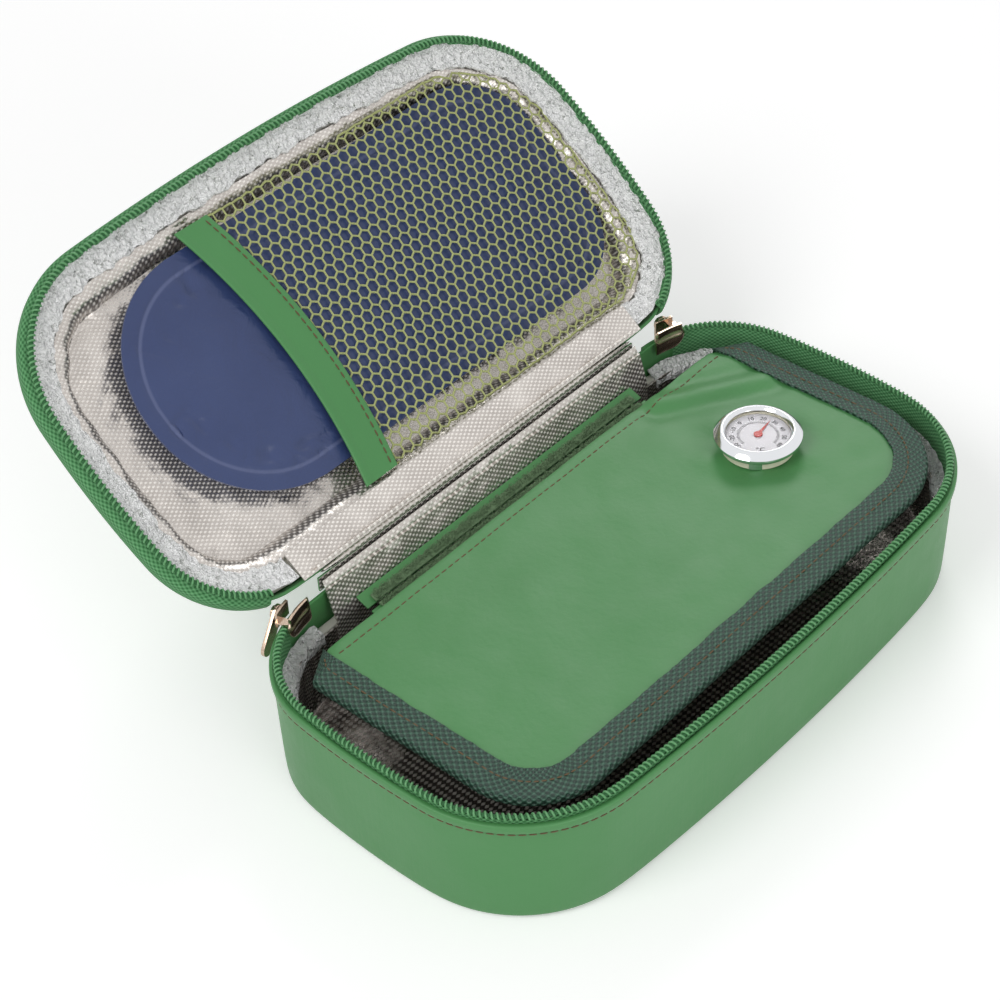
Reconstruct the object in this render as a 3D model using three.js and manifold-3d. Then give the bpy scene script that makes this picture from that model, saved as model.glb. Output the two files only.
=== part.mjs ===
// Soft insulated case with a zipped lid, a padded inner flap and a dial thermometer.
// Millimetres, +Z up. The origin is the middle of the case's length and width, on the floor.
// The long side lies along X and the lid's hinge is at the rear, on +Y.
import * as THREE from 'three';
import { mergeVertices } from 'three/addons/utils/BufferGeometryUtils.js';
import Module from 'manifold-3d';

const wasm = await Module();
wasm.setup();

// Outline of the case, seen from above
const CASE_LENGTH = 200; // between the corners, without the bulge of the ends
const CASE_WIDTH = 108.4; // between the corners, without the bulge of the front
const END_BOW = 5; // how far each end wall bulges
const FRONT_BOW = 5.3; // how far the front wall bulges
const FRONT_CORNER_RADIUS = 40;
const REAR_CORNER_RADIUS = 32;

// Heights, and the depth of the lid above the seam
const SEAM_HEIGHT = 40.65; // the plane where the zip closes
const LID_DEPTH = 21;
const BASE_INSET = 0.5; // how far the walls lean in at the floor
const FLOOR_EDGE_RADIUS = 2.4;
const BASE_HEM_DROP = 3.1; // from the seam down to the skin's sewn edge
const LID_HEM_RISE = 4.8; // from the seam up to the lid skin's sewn edge
const SHOULDER_RUN = 18; // how far the lid's rounded shoulder reaches inwards

// Sheet and foam thicknesses
const SKIN = 1.2;
const BOARD = 1;
const BOARD_MARGIN = 9; // the base board stops this far inside the rim
const LID_BOARD_MARGIN = 22;
const BASE_FOAM = 3;
const LID_FOAM = 3.3;
const LINING = 0.6;
const SEAT = 0.3; // clearance between pieces that lie on each other
const PAD_RUN = 6; // width of the lid's rolled inner pad
const INNER_EDGE_RADIUS = 2.5; // where the base lining turns from wall to floor

// Zip
const COIL_RADIUS = 1.1;
const COIL_GAP = 0.55; // from the seam plane to each coil
const TAPE = 0.8;
const TAPE_INSET = 1.5; // from the rim's outside to the tape
const BASE_TAPE_HEIGHT = 9.5;
const LID_TAPE_HEIGHT = 2.4;
const LID_TAPE_LEAN = 0.3; // how far the tape leans in at its sewn edge
const ZIP_START = 70; // degrees round the rear corner where coils and tapes begin

// Seam bindings of crinkled foil
const BASE_BINDING_WIDTH = 2.8;
const BASE_BINDING_THICKNESS = 1.1;
const LID_BINDING_WIDTH = 6.4;
const LID_BINDING_START = 2.7; // from the rim's outside
const LID_BINDING_RISE = 3.6; // from the seam to the binding's outer edge
const LID_BINDING_SLOPE = 1.6; // how much its inner edge lies deeper
const BINDING = 0.6;

// Lid hinge
const HINGE_INSET = 0.2; // the hinge line lies this far inside the rear edge
const HINGE_RISE = 3.55; // and this far above the seam
const HINGE_ROLL_RADIUS = 1;
const HINGE_END = 5.07; // from the middle of the rear corner to the hinge strip's end
const HINGE_PANEL = 0.9;
const LID_PANEL_HEIGHT = 5;
const LID_OPEN_DEGREES = 142.1;
const HINGE_LINING_DROP = 20; // from the seam to the lower edge of the silver hinge panel
const HINGE_LINING_BEND = 10.8; // from the seam to where the panel leans back to the rim
const HINGE_LINING_REACH = 2.9; // from the rear outside to the panel's upper edge

// Inner flap, in its own frame at the fold
const FOLD_INSET = 11.2; // from the rear outside to the flap's fold
const FOLD_DROP = 9.3; // from the seam to the fold
const FLAP_TILT_DEGREES = 1.6; // the front edge lies higher than the fold
const FLAP_SHIFT = 2; // the flap sits this far towards +X
const FLAP_SIDE_CLEAR = 6; // from the case's corners to each side edge, before the shift
const FLAP_FRONT_CLEAR = 10; // from the front wall's outside to the front edge
const FLAP_REAR = 5.4; // from the fold to the flap's rear edge
const FLAP_LEFT_RADIUS = 23; // front corners; the right one is rounder
const FLAP_RIGHT_RADIUS = 32;
const FLAP_CUT_ACROSS = 10; // the rear corners are cut off slanting
const FLAP_CUT_ALONG = 6;
const FLAP_SKIN = 0.8;
const FLAP_FOAM = 1;
const FLAP_LINING = 0.4;
const WEBBING = 0.7;
const WEBBING_WIDTH = 10;
const TAB = 0.8; // the sheet that carries the flap
const TAB_MARGIN = 8; // from the hinge strip's end to the tab's end
const TAB_REAR = 5.6; // from the fold back to the hinge panel
const TAB_RISE_DEGREES = 21; // how steeply the fixed tab climbs to the rear
const TAB_FRONT = 14; // from the fold forwards under the flap
const FOLD_GAP = 1.2; // between the fixed and the moving half of the tab
const LOOP = 0.8;
const HOOK = 0.7;
const LOOP_MARGIN = 2.3; // of bare tab behind the loop tape
const HOOK_FROM_FOLD = 6;
const STRIP_MARGIN = 3; // from the tab's end to the tape's end
const HOOK_SINK = 0.25; // clearance inside the flap's stack

// Dial thermometer on the flap
const DIAL_FROM_SIDE = 38.3; // from the flap's right edge
const DIAL_FROM_FRONT = 48; // from the flap's front edge
const BEZEL_RADIUS = 13;
const WINDOW_RADIUS = 9.4;
const BEZEL_HEIGHT = 4.5;
const BEZEL_CHAMFER = 1.7;
const BEZEL_SKIRT = 1.4; // wall of the skirt that grips the housing
const HOUSING_RADIUS = 10.7;
const HOUSING_STAND = 2.6; // how much of the housing shows under the bezel
const HOUSING_WALL = 0.8;
const NECK_RADIUS = 8;
const NECK_DEPTH = 6.6; // below the flap's upper face
const CHAMBER_RADIUS = 6.8;
const DIAL_THICKNESS = 0.4;
const LENS_THICKNESS = 0.8;
const SPINDLE_RADIUS = 0.5;
const HUB_RADIUS = 1.3;
const POINTER_LENGTH = 7.2;
const POINTER_WIDTH = 0.9;
const POINTER_THICKNESS = 0.3;
const POINTER_GAP = 0.35;
const POINTER_DEGREES = 8; // heading of the pointer at rest, from +X
const SPRING_STRIP = 0.4;
const SPRING_HEIGHT = 2.2;
const SPRING_INNER = 1.2;
const SPRING_TURNS = 3;
const LUG_WIDTH = 3.4;
const LUG_COUNT = 4;
const LUG_DEGREES = 227; // heading of the first lug
const CLIP_RING_RADIUS = 10.6;
const CLIP_RING_HEIGHT = 1.8;

// Mesh pocket and gel pack, in the lid
const MOUTH_SHARE = 0.311; // the pocket's mouth lies this share of half the length left of centre
const NET_END_CLEAR = 10.4; // from the end wall's outside to the net
const NET_FRONT_CLEAR = 13.5;
const NET_REAR_CLEAR = 11.5;
const NET_FRONT_RADIUS = 30;
const NET_REAR_RADIUS = 21;
const NET_THREAD = 0.7;
const NET_PITCH = 7.6;
const NET_BAR = 1.7;
const NET_MARGIN = 3.2;
const HEM_WIDTH = 12.4;
const HEM_THICKNESS = 1.1;
const HEM_BOW = 6;
const PACK_LEFT_CLEAR = 26.6; // from the end wall's outside to the pack
const PACK_RIGHT_CLEAR = 15;
const PACK_FRONT_CLEAR = 17.5;
const PACK_REAR_CLEAR = 21.2;
const PACK_LEFT_RADIUS = 37;
const PACK_RIGHT_RADIUS = 24;
const PACK_WELD = 1.1; // thickness of the welded rim
const PACK_WELD_WIDTH = 5;
const PACK_SHOULDER = 12;
const PACK_FACE_SHARE = 0.1; // of the pack's thickness lies on the net's side of the weld

// Zip slider and pull tab
const SLIDER_ANGLE = 75; // degrees round the rear corner
const SLIDER_LENGTH = 10;
const SLIDER_OUTER_SHARE = 0.6; // length of the outer plate against the inner one
const SLIDER_HALF_HEIGHT = 2.5;
const SLIDER_INNER_HALF_HEIGHT = 2.6;
const SLIDER_PLATE = 0.8;
const SLIDER_OUTER_CLEAR = 0.4;
const SLIDER_BRIDGE = 0.5;
const SLIDER_BRIDGE_LENGTH = 2.6;
const RIVET_RADIUS = 1;
const RIVET_LENGTH = 1.7;
const RIVET_HEAD_RADIUS = 1.8;
const RIVET_HEAD = 0.5;
const RIVET_FROM_NOSE = 3.9;
const PULL_LENGTH = 15;
const PULL_WIDTH = 5;
const PULL_THICKNESS = 1.1;
const PULL_EYE_CLEAR = 0.3;
const PULL_DROOP_DEGREES = 45;

// Fineness of the faceted curves
const CORNER_STEPS = 6;
const END_STEPS = 3;
const FRONT_HALF_STEPS = 3;
const ROUNDING_STEPS = 3;
const DOME_STEPS = 4;
const ROUND_SEGMENTS = 24;
const SMALL_SEGMENTS = 12;
const COIL_SIDES = 6;

const rad = THREE.MathUtils.degToRad;
const HALF_TURN = Math.PI;
const QUARTER_TURN = Math.PI / 2;

// Circles that make the bowed outline: each side is an arc, and each corner touches two of them
const halfLength = CASE_LENGTH / 2;
const halfWidth = CASE_WIDTH / 2;
const endRadius = (halfWidth ** 2 + END_BOW ** 2) / (2 * END_BOW);
const endCentre = [halfLength + END_BOW - endRadius, 0];
const frontRadius = (halfLength ** 2 + FRONT_BOW ** 2) / (2 * FRONT_BOW);
const frontCentre = [0, frontRadius - halfWidth - FRONT_BOW];
const rearCornerY = halfWidth - REAR_CORNER_RADIUS;
const rearCorner = [
  endCentre[0] + Math.sqrt((endRadius - REAR_CORNER_RADIUS) ** 2 - rearCornerY ** 2),
  rearCornerY,
];
const frontCorner = circlesMeet(
  endCentre, endRadius - FRONT_CORNER_RADIUS, frontCentre, frontRadius - FRONT_CORNER_RADIUS);

// The meeting point of two circles that lies furthest to the front right
function circlesMeet(a, radiusA, b, radiusB) {
  const span = Math.hypot(b[0] - a[0], b[1] - a[1]);
  const along = (radiusA ** 2 - radiusB ** 2 + span ** 2) / (2 * span);
  const across = Math.sqrt(radiusA ** 2 - along ** 2);
  const ux = (b[0] - a[0]) / span;
  const uy = (b[1] - a[1]) / span;
  const points = [1, -1].map((side) => [
    a[0] + ux * along - uy * across * side, a[1] + uy * along + ux * across * side]);
  return points.sort((p, q) => (q[0] - q[1]) - (p[0] - p[1]))[0];
}

// A station is a point of an outline with its outward normal, so an inset outline follows it
function arcStations(centre, radius, from, to, steps) {
  return Array.from({ length: steps + 1 }, (_, i) => {
    const angle = from + (to - from) * i / steps;
    const nx = Math.cos(angle);
    const ny = Math.sin(angle);
    return { x: centre[0] + radius * nx, y: centre[1] + radius * ny, nx, ny };
  });
}

// The case's outline from the rear right corner, round the front, to the rear left corner
function rimStations(startAngle) {
  const endTop = Math.atan2(rearCorner[1] - endCentre[1], rearCorner[0] - endCentre[0]);
  const endLow = Math.atan2(frontCorner[1] - endCentre[1], frontCorner[0] - endCentre[0]);
  const frontTurn = Math.atan2(frontCorner[1] - frontCentre[1], frontCorner[0] - frontCentre[0]);
  const right = [
    ...arcStations(rearCorner, REAR_CORNER_RADIUS, startAngle, endTop, CORNER_STEPS),
    ...arcStations(endCentre, endRadius, endTop, endLow, END_STEPS).slice(1),
    ...arcStations(frontCorner, FRONT_CORNER_RADIUS, endLow, frontTurn, CORNER_STEPS).slice(1),
    ...arcStations(frontCentre, frontRadius, frontTurn, -QUARTER_TURN, FRONT_HALF_STEPS).slice(1),
  ];
  const left = right.slice(0, -1).reverse().map((s) => ({ x: -s.x, y: s.y, nx: -s.nx, ny: s.ny }));
  return [...right, ...left];
}

const HINGE_LENGTH = 2 * (rearCorner[0] - HINGE_END);
const TAB_WIDTH = HINGE_LENGTH - 2 * TAB_MARGIN;
const STRIP_WIDTH = TAB_WIDTH - 2 * STRIP_MARGIN;
const closedRim = rimStations(QUARTER_TURN);
const zipRim = rimStations(rad(ZIP_START));

function insetPoint(station, inset, z) {
  return [station.x - station.nx * inset, station.y - station.ny * inset, z];
}

// A closed mesh whose faces point outwards
function closedGeometry(points, faces) {
  const geometry = new THREE.BufferGeometry();
  geometry.setAttribute('position', new THREE.Float32BufferAttribute(points.flat(), 3));
  geometry.setIndex(faces.flat());
  return facedOutwards(geometry);
}

function signedVolume(geometry) {
  const plain = geometry.index ? geometry.toNonIndexed() : geometry;
  const spots = plain.attributes.position;
  const [a, b, c] = [new THREE.Vector3(), new THREE.Vector3(), new THREE.Vector3()];
  let volume = 0;
  for (let i = 0; i < spots.count; i += 3) {
    a.fromBufferAttribute(spots, i);
    b.fromBufferAttribute(spots, i + 1);
    c.fromBufferAttribute(spots, i + 2);
    volume += a.dot(b.cross(c));
  }
  return volume;
}

function facedOutwards(geometry) {
  if (signedVolume(geometry) < 0) {
    const plain = geometry.index ? geometry.toNonIndexed() : geometry;
    const spots = plain.attributes.position.array;
    const turned = new Float32Array(spots.length);
    for (let i = 0; i < spots.length; i += 9) {
      turned.set(spots.slice(i, i + 3), i);
      turned.set(spots.slice(i + 6, i + 9), i + 3);
      turned.set(spots.slice(i + 3, i + 6), i + 6);
    }
    geometry = new THREE.BufferGeometry();
    geometry.setAttribute('position', new THREE.BufferAttribute(turned, 3));
  }
  geometry.deleteAttribute('normal');
  geometry.deleteAttribute('uv');
  geometry.computeVertexNormals();
  return geometry;
}

// Rings of equal length joined in order; the ends are capped, or the last ring meets the first
function ringsGeometry(rings, wrapRings, wrapAround) {
  const size = rings[0].length;
  const points = rings.flat();
  const faces = [];
  const ringPairs = wrapRings ? rings.length : rings.length - 1;
  const columns = wrapAround ? size : size - 1;
  for (let r = 0; r < ringPairs; r += 1) {
    const low = r * size;
    const high = ((r + 1) % rings.length) * size;
    for (let i = 0; i < columns; i += 1) {
      const j = (i + 1) % size;
      faces.push([low + i, low + j, high + j], [low + i, high + j, high + i]);
    }
  }
  return { points, faces, size };
}

// A tray or cap: the outline at each [inset, z] of the profile, closed by a flat face at each end
function trayGeometry(stations, profile) {
  const rings = profile.map(([inset, z]) => stations.map((s) => insetPoint(s, inset, z)));
  const { points, faces, size } = ringsGeometry(rings, false, true);
  [[0, true], [rings.length - 1, false]].forEach(([ring, turned]) => {
    const middle = points.length;
    const first = ring * size;
    points.push([0, 0, profile[ring][1]]);
    for (let i = 0; i < size; i += 1) {
      const pair = [first + i, first + (i + 1) % size];
      faces.push(turned ? [middle, pair[1], pair[0]] : [middle, pair[0], pair[1]]);
    }
  });
  return closedGeometry(points, faces);
}

// A strip that follows the stations with a constant section of [inset, z] points
function stripGeometry(stations, section, closed) {
  const rings = stations.map((s) => section.map(([inset, z]) => insetPoint(s, inset, z)));
  const { points, faces, size } = ringsGeometry(rings, closed, true);
  if (!closed) {
    const last = (rings.length - 1) * size;
    const flat = section.map(([inset, z]) => new THREE.Vector2(inset, z));
    THREE.ShapeUtils.triangulateShape(flat, []).forEach(([a, b, c]) => {
      faces.push([a, c, b], [last + a, last + b, last + c]);
    });
  }
  return closedGeometry(points, faces);
}

function rectangleSection(insetA, insetB, low, high) {
  return [[insetA, low], [insetB, low], [insetB, high], [insetA, high]];
}

function roundSection(inset, z, radius, sides) {
  return Array.from({ length: sides }, (_, i) => {
    const angle = 2 * HALF_TURN * i / sides;
    return [inset + radius * Math.cos(angle), z + radius * Math.sin(angle)];
  });
}

// A flat sheet with an outline in X and Y
function sheetGeometry(shape, low, high, curveSegments = CORNER_STEPS) {
  const geometry = new THREE.ExtrudeGeometry(
    shape, { depth: high - low, bevelEnabled: false, curveSegments });
  return facedOutwards(geometry.translate(0, 0, low));
}

function rectangleShape(left, right, rear, front) {
  const shape = new THREE.Shape();
  shape.moveTo(left, front);
  shape.lineTo(right, front);
  shape.lineTo(right, rear);
  shape.lineTo(left, rear);
  shape.closePath();
  return shape;
}

function circlePath(x, y, radius) {
  const path = new THREE.Path();
  path.absarc(x, y, radius, 0, 2 * HALF_TURN, true);
  return path;
}

// A turned piece: the profile holds [radius, z] points and is closed or starts and ends on the axis
function turnedGeometry(profile, segments) {
  const points = profile.map(([r, z]) => new THREE.Vector2(r, z));
  return facedOutwards(new THREE.LatheGeometry(points, segments).rotateX(QUARTER_TURN));
}

function ringProfile(inner, outer, low, high) {
  return [[inner, low], [outer, low], [outer, high], [inner, high], [inner, low]];
}

// Solids for joining and cutting
function toSolid(geometry) {
  const bare = new THREE.BufferGeometry();
  bare.setAttribute('position', geometry.attributes.position);
  if (geometry.index) bare.setIndex(geometry.index);
  const merged = mergeVertices(bare, SEAT / 1000);
  return new wasm.Manifold(new wasm.Mesh({
    numProp: 3,
    vertProperties: merged.attributes.position.array,
    triVerts: new Uint32Array(merged.index.array),
  }));
}

function fromSolid(solid) {
  const mesh = solid.getMesh();
  const geometry = new THREE.BufferGeometry();
  geometry.setAttribute('position', new THREE.BufferAttribute(mesh.vertProperties, 3));
  geometry.setIndex(new THREE.BufferAttribute(mesh.triVerts, 1));
  return facedOutwards(geometry);
}

function joined(geometries) {
  return fromSolid(geometries.map(toSolid).reduce((sum, next) => sum.add(next)));
}

function pierced(geometry, cutters) {
  return fromSolid(cutters.map(toSolid).reduce((rest, next) => rest.subtract(next), toSolid(geometry)));
}

const colours = {
  skin: 0x5e9a63, webbing: 0x2f6b55, zip: 0x3f7f4a, lining: 0xcfcac4, foil: 0xc2c1c3,
  foam: 0xe8e6df, board: 0xb9bcc0, loop: 0x1f4a2c, net: 0xb4b86a, gel: 0x2b3566,
  chrome: 0xd5d8dc, cream: 0xe6e2cd, dial: 0xf4f4f2, pointer: 0xd1453b, lens: 0xeef3f6,
  spring: 0xb98a4a, slider: 0xb49a86,
};

function piece(name, geometry, colour, roughness = 0.6, metalness = 0) {
  const material = new THREE.MeshStandardMaterial({ color: colour, roughness, metalness });
  const mesh = new THREE.Mesh(geometry, material);
  mesh.name = name;
  return mesh;
}

// How far the base wall stands inside the rim at a height
const baseHemHeight = SEAM_HEIGHT - BASE_HEM_DROP;
function wallInset(z) {
  return BASE_INSET * Math.max(0, 1 - z / baseHemHeight);
}

// Profile of one face of a base tray: floor edge rounded, wall leaning out to the top
function baseFace(inset, floor, top, radius) {
  const profile = [];
  for (let i = 0; i <= ROUNDING_STEPS; i += 1) {
    const turn = QUARTER_TURN * i / ROUNDING_STEPS;
    const z = floor + radius * (1 - Math.cos(turn));
    profile.push([wallInset(floor) + inset + radius * (1 - Math.sin(turn)), z]);
  }
  profile.push([wallInset(top) + inset, top]);
  return profile;
}

function baseTray(outerInset, floor, thickness, top, outerRadius, innerRadius) {
  const outer = baseFace(outerInset, floor, top, outerRadius);
  const inner = baseFace(outerInset + thickness, floor + thickness, top, innerRadius);
  return trayGeometry(closedRim, [...outer, ...inner.reverse()]);
}

// Base: skin, board, foam and lining
const foamInset = SKIN + SEAT;
const liningInset = foamInset + BASE_FOAM + SEAT;
const liningFace = liningInset + LINING;
const boardFloor = SKIN + SEAT;
const foamFloor = boardFloor + BOARD + SEAT;
const liningFloor = foamFloor + BASE_FOAM + SEAT;
const coilMiddle = COIL_GAP + COIL_RADIUS;
const coilInset = TAPE_INSET + TAPE / 2;
const baseTapeTop = SEAM_HEIGHT - coilMiddle - COIL_RADIUS - SEAT;
const baseTapeLow = baseTapeTop - BASE_TAPE_HEIGHT;
const foamTop = baseTapeLow - SEAT;

function makeBase() {
  const base = new THREE.Group();
  const innerSkinRadius = FLOOR_EDGE_RADIUS - SKIN;
  base.add(piece('base_shell',
    baseTray(0, 0, SKIN, baseHemHeight, FLOOR_EDGE_RADIUS, innerSkinRadius), colours.skin));
  base.add(piece('base_board', trayGeometry(closedRim, [
    [BOARD_MARGIN, boardFloor], [BOARD_MARGIN, boardFloor + BOARD]]), colours.board));
  base.add(piece('base_foam', baseTray(foamInset, foamFloor, BASE_FOAM, foamTop,
    INNER_EDGE_RADIUS + SEAT, INNER_EDGE_RADIUS), colours.foam));
  base.add(piece('base_lining', baseTray(liningInset, liningFloor, LINING, foamTop,
    INNER_EDGE_RADIUS, INNER_EDGE_RADIUS), colours.lining, 0.35, 0.6));
  const bindingOuter = TAPE_INSET + TAPE + wallInset(foamTop) + SEAT;
  base.add(piece('base_foil_binding', stripGeometry(closedRim, rectangleSection(
    bindingOuter, bindingOuter + BASE_BINDING_WIDTH,
    foamTop + SEAT, foamTop + SEAT + BASE_BINDING_THICKNESS), true), colours.foil, 0.3, 0.7));
  const tapeLean = TAPE_INSET + wallInset(baseTapeLow);
  base.add(piece('base_zip_tape', stripGeometry(zipRim, [
    [tapeLean, baseTapeLow], [tapeLean + TAPE, baseTapeLow],
    [TAPE_INSET + TAPE, baseTapeTop], [TAPE_INSET, baseTapeTop]], false), colours.zip));
  base.add(piece('base_zip_coil', stripGeometry(zipRim, roundSection(
    coilInset, SEAM_HEIGHT - coilMiddle, COIL_RADIUS, COIL_SIDES), false), colours.zip));
  return base;
}

// Hinge strip behind the rim, its folded roll on the hinge line, and its silver inner panel
const hingeY = halfWidth - HINGE_INSET;
const hingeZ = SEAM_HEIGHT + HINGE_RISE;

// A bar along X with a section of [y, z] points
function barGeometry(section, length) {
  const shape = new THREE.Shape(section.map(([y, z]) => new THREE.Vector2(y, z)));
  const geometry = new THREE.ExtrudeGeometry(shape, { depth: length, bevelEnabled: false });
  geometry.translate(0, 0, -length / 2);
  return facedOutwards(geometry.applyMatrix4(new THREE.Matrix4().makeBasis(
    new THREE.Vector3(0, 1, 0), new THREE.Vector3(0, 0, 1), new THREE.Vector3(1, 0, 0))));
}

function makeHinge() {
  const hinge = new THREE.Group();
  const panelOut = hingeY + HINGE_PANEL / 2;
  const panelLow = baseHemHeight + SEAT;
  const panelTop = hingeZ - HINGE_ROLL_RADIUS - SEAT;
  hinge.add(piece('hinge_panel', barGeometry([
    [panelOut - HINGE_PANEL, panelLow], [panelOut, panelLow],
    [panelOut, panelTop], [panelOut - HINGE_PANEL, panelTop]], HINGE_LENGTH), colours.skin));
  hinge.add(piece('hinge_roll', barGeometry(
    roundSection(hingeY, hingeZ, HINGE_ROLL_RADIUS, COIL_SIDES * 2), HINGE_LENGTH), colours.skin));
  const wallY = halfWidth - liningFace - wallInset(foamTop) - SEAT;
  const low = SEAM_HEIGHT - HINGE_LINING_DROP;
  const bend = SEAM_HEIGHT - HINGE_LINING_BEND;
  const top = SEAM_HEIGHT - COIL_GAP;
  const topY = halfWidth - HINGE_LINING_REACH;
  const bindingFace = halfWidth - TAPE_INSET - TAPE - wallInset(foamTop)
    - BASE_BINDING_WIDTH - 2 * SEAT;
  const faceY = Math.min(wallY, bindingFace);
  const lowY = halfWidth - liningFace - wallInset(low) - SEAT;
  hinge.add(piece('hinge_lining', barGeometry([
    [lowY, low], [faceY, bend], [topY, top],
    [topY - LINING, top], [faceY - LINING, bend], [lowY - LINING, low]], HINGE_LENGTH),
  colours.lining, 0.35, 0.6));
  return hinge;
}

// Lid, drawn closed over the base and turned open about the hinge line
// The dome is a quarter ellipse; a face at some depth runs parallel to it
function domeFace(depth) {
  const height = LID_DEPTH - LID_HEM_RISE;
  return Array.from({ length: DOME_STEPS + 1 }, (_, i) => {
    const turn = QUARTER_TURN * i / DOME_STEPS;
    const across = Math.cos(turn) / SHOULDER_RUN;
    const up = Math.sin(turn) / height;
    const size = Math.hypot(across, up);
    return [
      SHOULDER_RUN * (1 - Math.cos(turn)) + depth * across / size,
      SEAM_HEIGHT + LID_HEM_RISE + height * Math.sin(turn) - depth * up / size];
  });
}

// The part of a rising profile between two heights
function profileBetween(profile, low, high) {
  const at = (z) => {
    const i = profile.findIndex((point) => point[1] > z);
    const [a, b] = [profile[i - 1], profile[i]];
    return [a[0] + (b[0] - a[0]) * (z - a[1]) / (b[1] - a[1]), z];
  };
  return [at(low), ...profile.filter(([, z]) => z > low && z < high), at(high)];
}

// The pad round the lid's inside rolls from the foil binding over to the flat back of the pocket
const dishStart = LID_BINDING_START + LID_BINDING_WIDTH;
const dishEnd = dishStart + PAD_RUN;
const padZ = SEAM_HEIGHT + LID_BINDING_RISE + LID_BINDING_SLOPE + BINDING + SEAT;
const dishZ = SEAM_HEIGHT + LID_DEPTH - SKIN - BOARD - LID_FOAM - LINING - 3 * SEAT;

function dishFace(depth) {
  const fall = dishZ - padZ;
  const profile = [];
  for (let i = 0; i <= DOME_STEPS; i += 1) {
    const turn = QUARTER_TURN * i / DOME_STEPS;
    const size = Math.hypot(PAD_RUN * Math.cos(turn), fall * Math.sin(turn));
    profile.push([
      dishStart + PAD_RUN * Math.sin(turn) - depth * fall * Math.sin(turn) / size,
      padZ + fall * (1 - Math.cos(turn)) + depth * PAD_RUN * Math.cos(turn) / size]);
  }
  if (depth > 0) profile.push([dishEnd - depth, dishZ + depth]);
  return profile;
}

function makeLidShell() {
  const lid = new THREE.Group();
  lid.add(piece('lid_shell', trayGeometry(closedRim, [
    ...domeFace(0).reverse(), ...domeFace(SKIN)]), colours.skin));
  const boardTop = SEAM_HEIGHT + LID_DEPTH - SKIN - SEAT;
  lid.add(piece('lid_board', trayGeometry(closedRim, [
    [LID_BOARD_MARGIN, boardTop - BOARD], [LID_BOARD_MARGIN, boardTop]]), colours.board));
  const foamInner = dishFace(LINING + SEAT);
  const foamOuter = profileBetween(
    domeFace(SKIN + SEAT), foamInner[0][1], boardTop - BOARD - SEAT).reverse();
  lid.add(piece('lid_foam', trayGeometry(closedRim, [...foamOuter, ...foamInner]), colours.foam));
  const liningOuter = dishFace(LINING).reverse();
  lid.add(piece('lid_lining', trayGeometry(closedRim, [...liningOuter, ...dishFace(0)]),
    colours.lining, 0.35, 0.6));
  const near = SEAM_HEIGHT + LID_BINDING_RISE;
  const far = near + LID_BINDING_SLOPE;
  lid.add(piece('lid_foil_binding', stripGeometry(closedRim, [
    [LID_BINDING_START, near], [dishStart, far],
    [dishStart, far + BINDING], [LID_BINDING_START, near + BINDING]], true),
  colours.foil, 0.3, 0.7));
  const tapeLow = SEAM_HEIGHT + coilMiddle + COIL_RADIUS + SEAT;
  const tapeHigh = tapeLow + LID_TAPE_HEIGHT;
  lid.add(piece('lid_zip_tape', stripGeometry(zipRim, [
    [TAPE_INSET, tapeLow], [TAPE_INSET + TAPE, tapeLow],
    [TAPE_INSET + TAPE + LID_TAPE_LEAN, tapeHigh], [TAPE_INSET + LID_TAPE_LEAN, tapeHigh]], false),
  colours.zip));
  lid.add(piece('lid_zip_coil', stripGeometry(zipRim, roundSection(
    coilInset, SEAM_HEIGHT + coilMiddle, COIL_RADIUS, COIL_SIDES), false), colours.zip));
  const panelY = hingeY - HINGE_ROLL_RADIUS - SEAT;
  const panelLow = SEAM_HEIGHT + COIL_GAP;
  lid.add(piece('lid_hinge_lining', barGeometry([
    [panelY - TAPE, panelLow], [panelY, panelLow],
    [panelY, panelLow + LID_PANEL_HEIGHT], [panelY - TAPE, panelLow + LID_PANEL_HEIGHT]],
  HINGE_LENGTH), colours.lining, 0.35, 0.6));
  return lid;
}

// The net lies flat over the pad, and the pack fills the space behind it
const netHigh = padZ - SEAT;
const netLow = netHigh - NET_THREAD;
const netLeft = -halfLength * MOUTH_SHARE;
const netRight = halfLength + END_BOW - NET_END_CLEAR;
const netFront = -halfWidth - FRONT_BOW + NET_FRONT_CLEAR;
const netRear = halfWidth - NET_REAR_CLEAR;

// How far the mouth of the pocket bows towards +X at a place along Y
function mouthBow(y) {
  const middle = (netFront + netRear) / 2;
  const half = (netRear - netFront) / 2;
  return HEM_BOW * (1 - ((y - middle) / half) ** 2);
}

// How far a rounded corner has drawn a straight side in, at a distance from the corner's other side
function cornerCut(radius, distance) {
  const spare = Math.max(0, radius - distance);
  return radius - Math.sqrt(radius ** 2 - spare ** 2);
}

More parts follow.
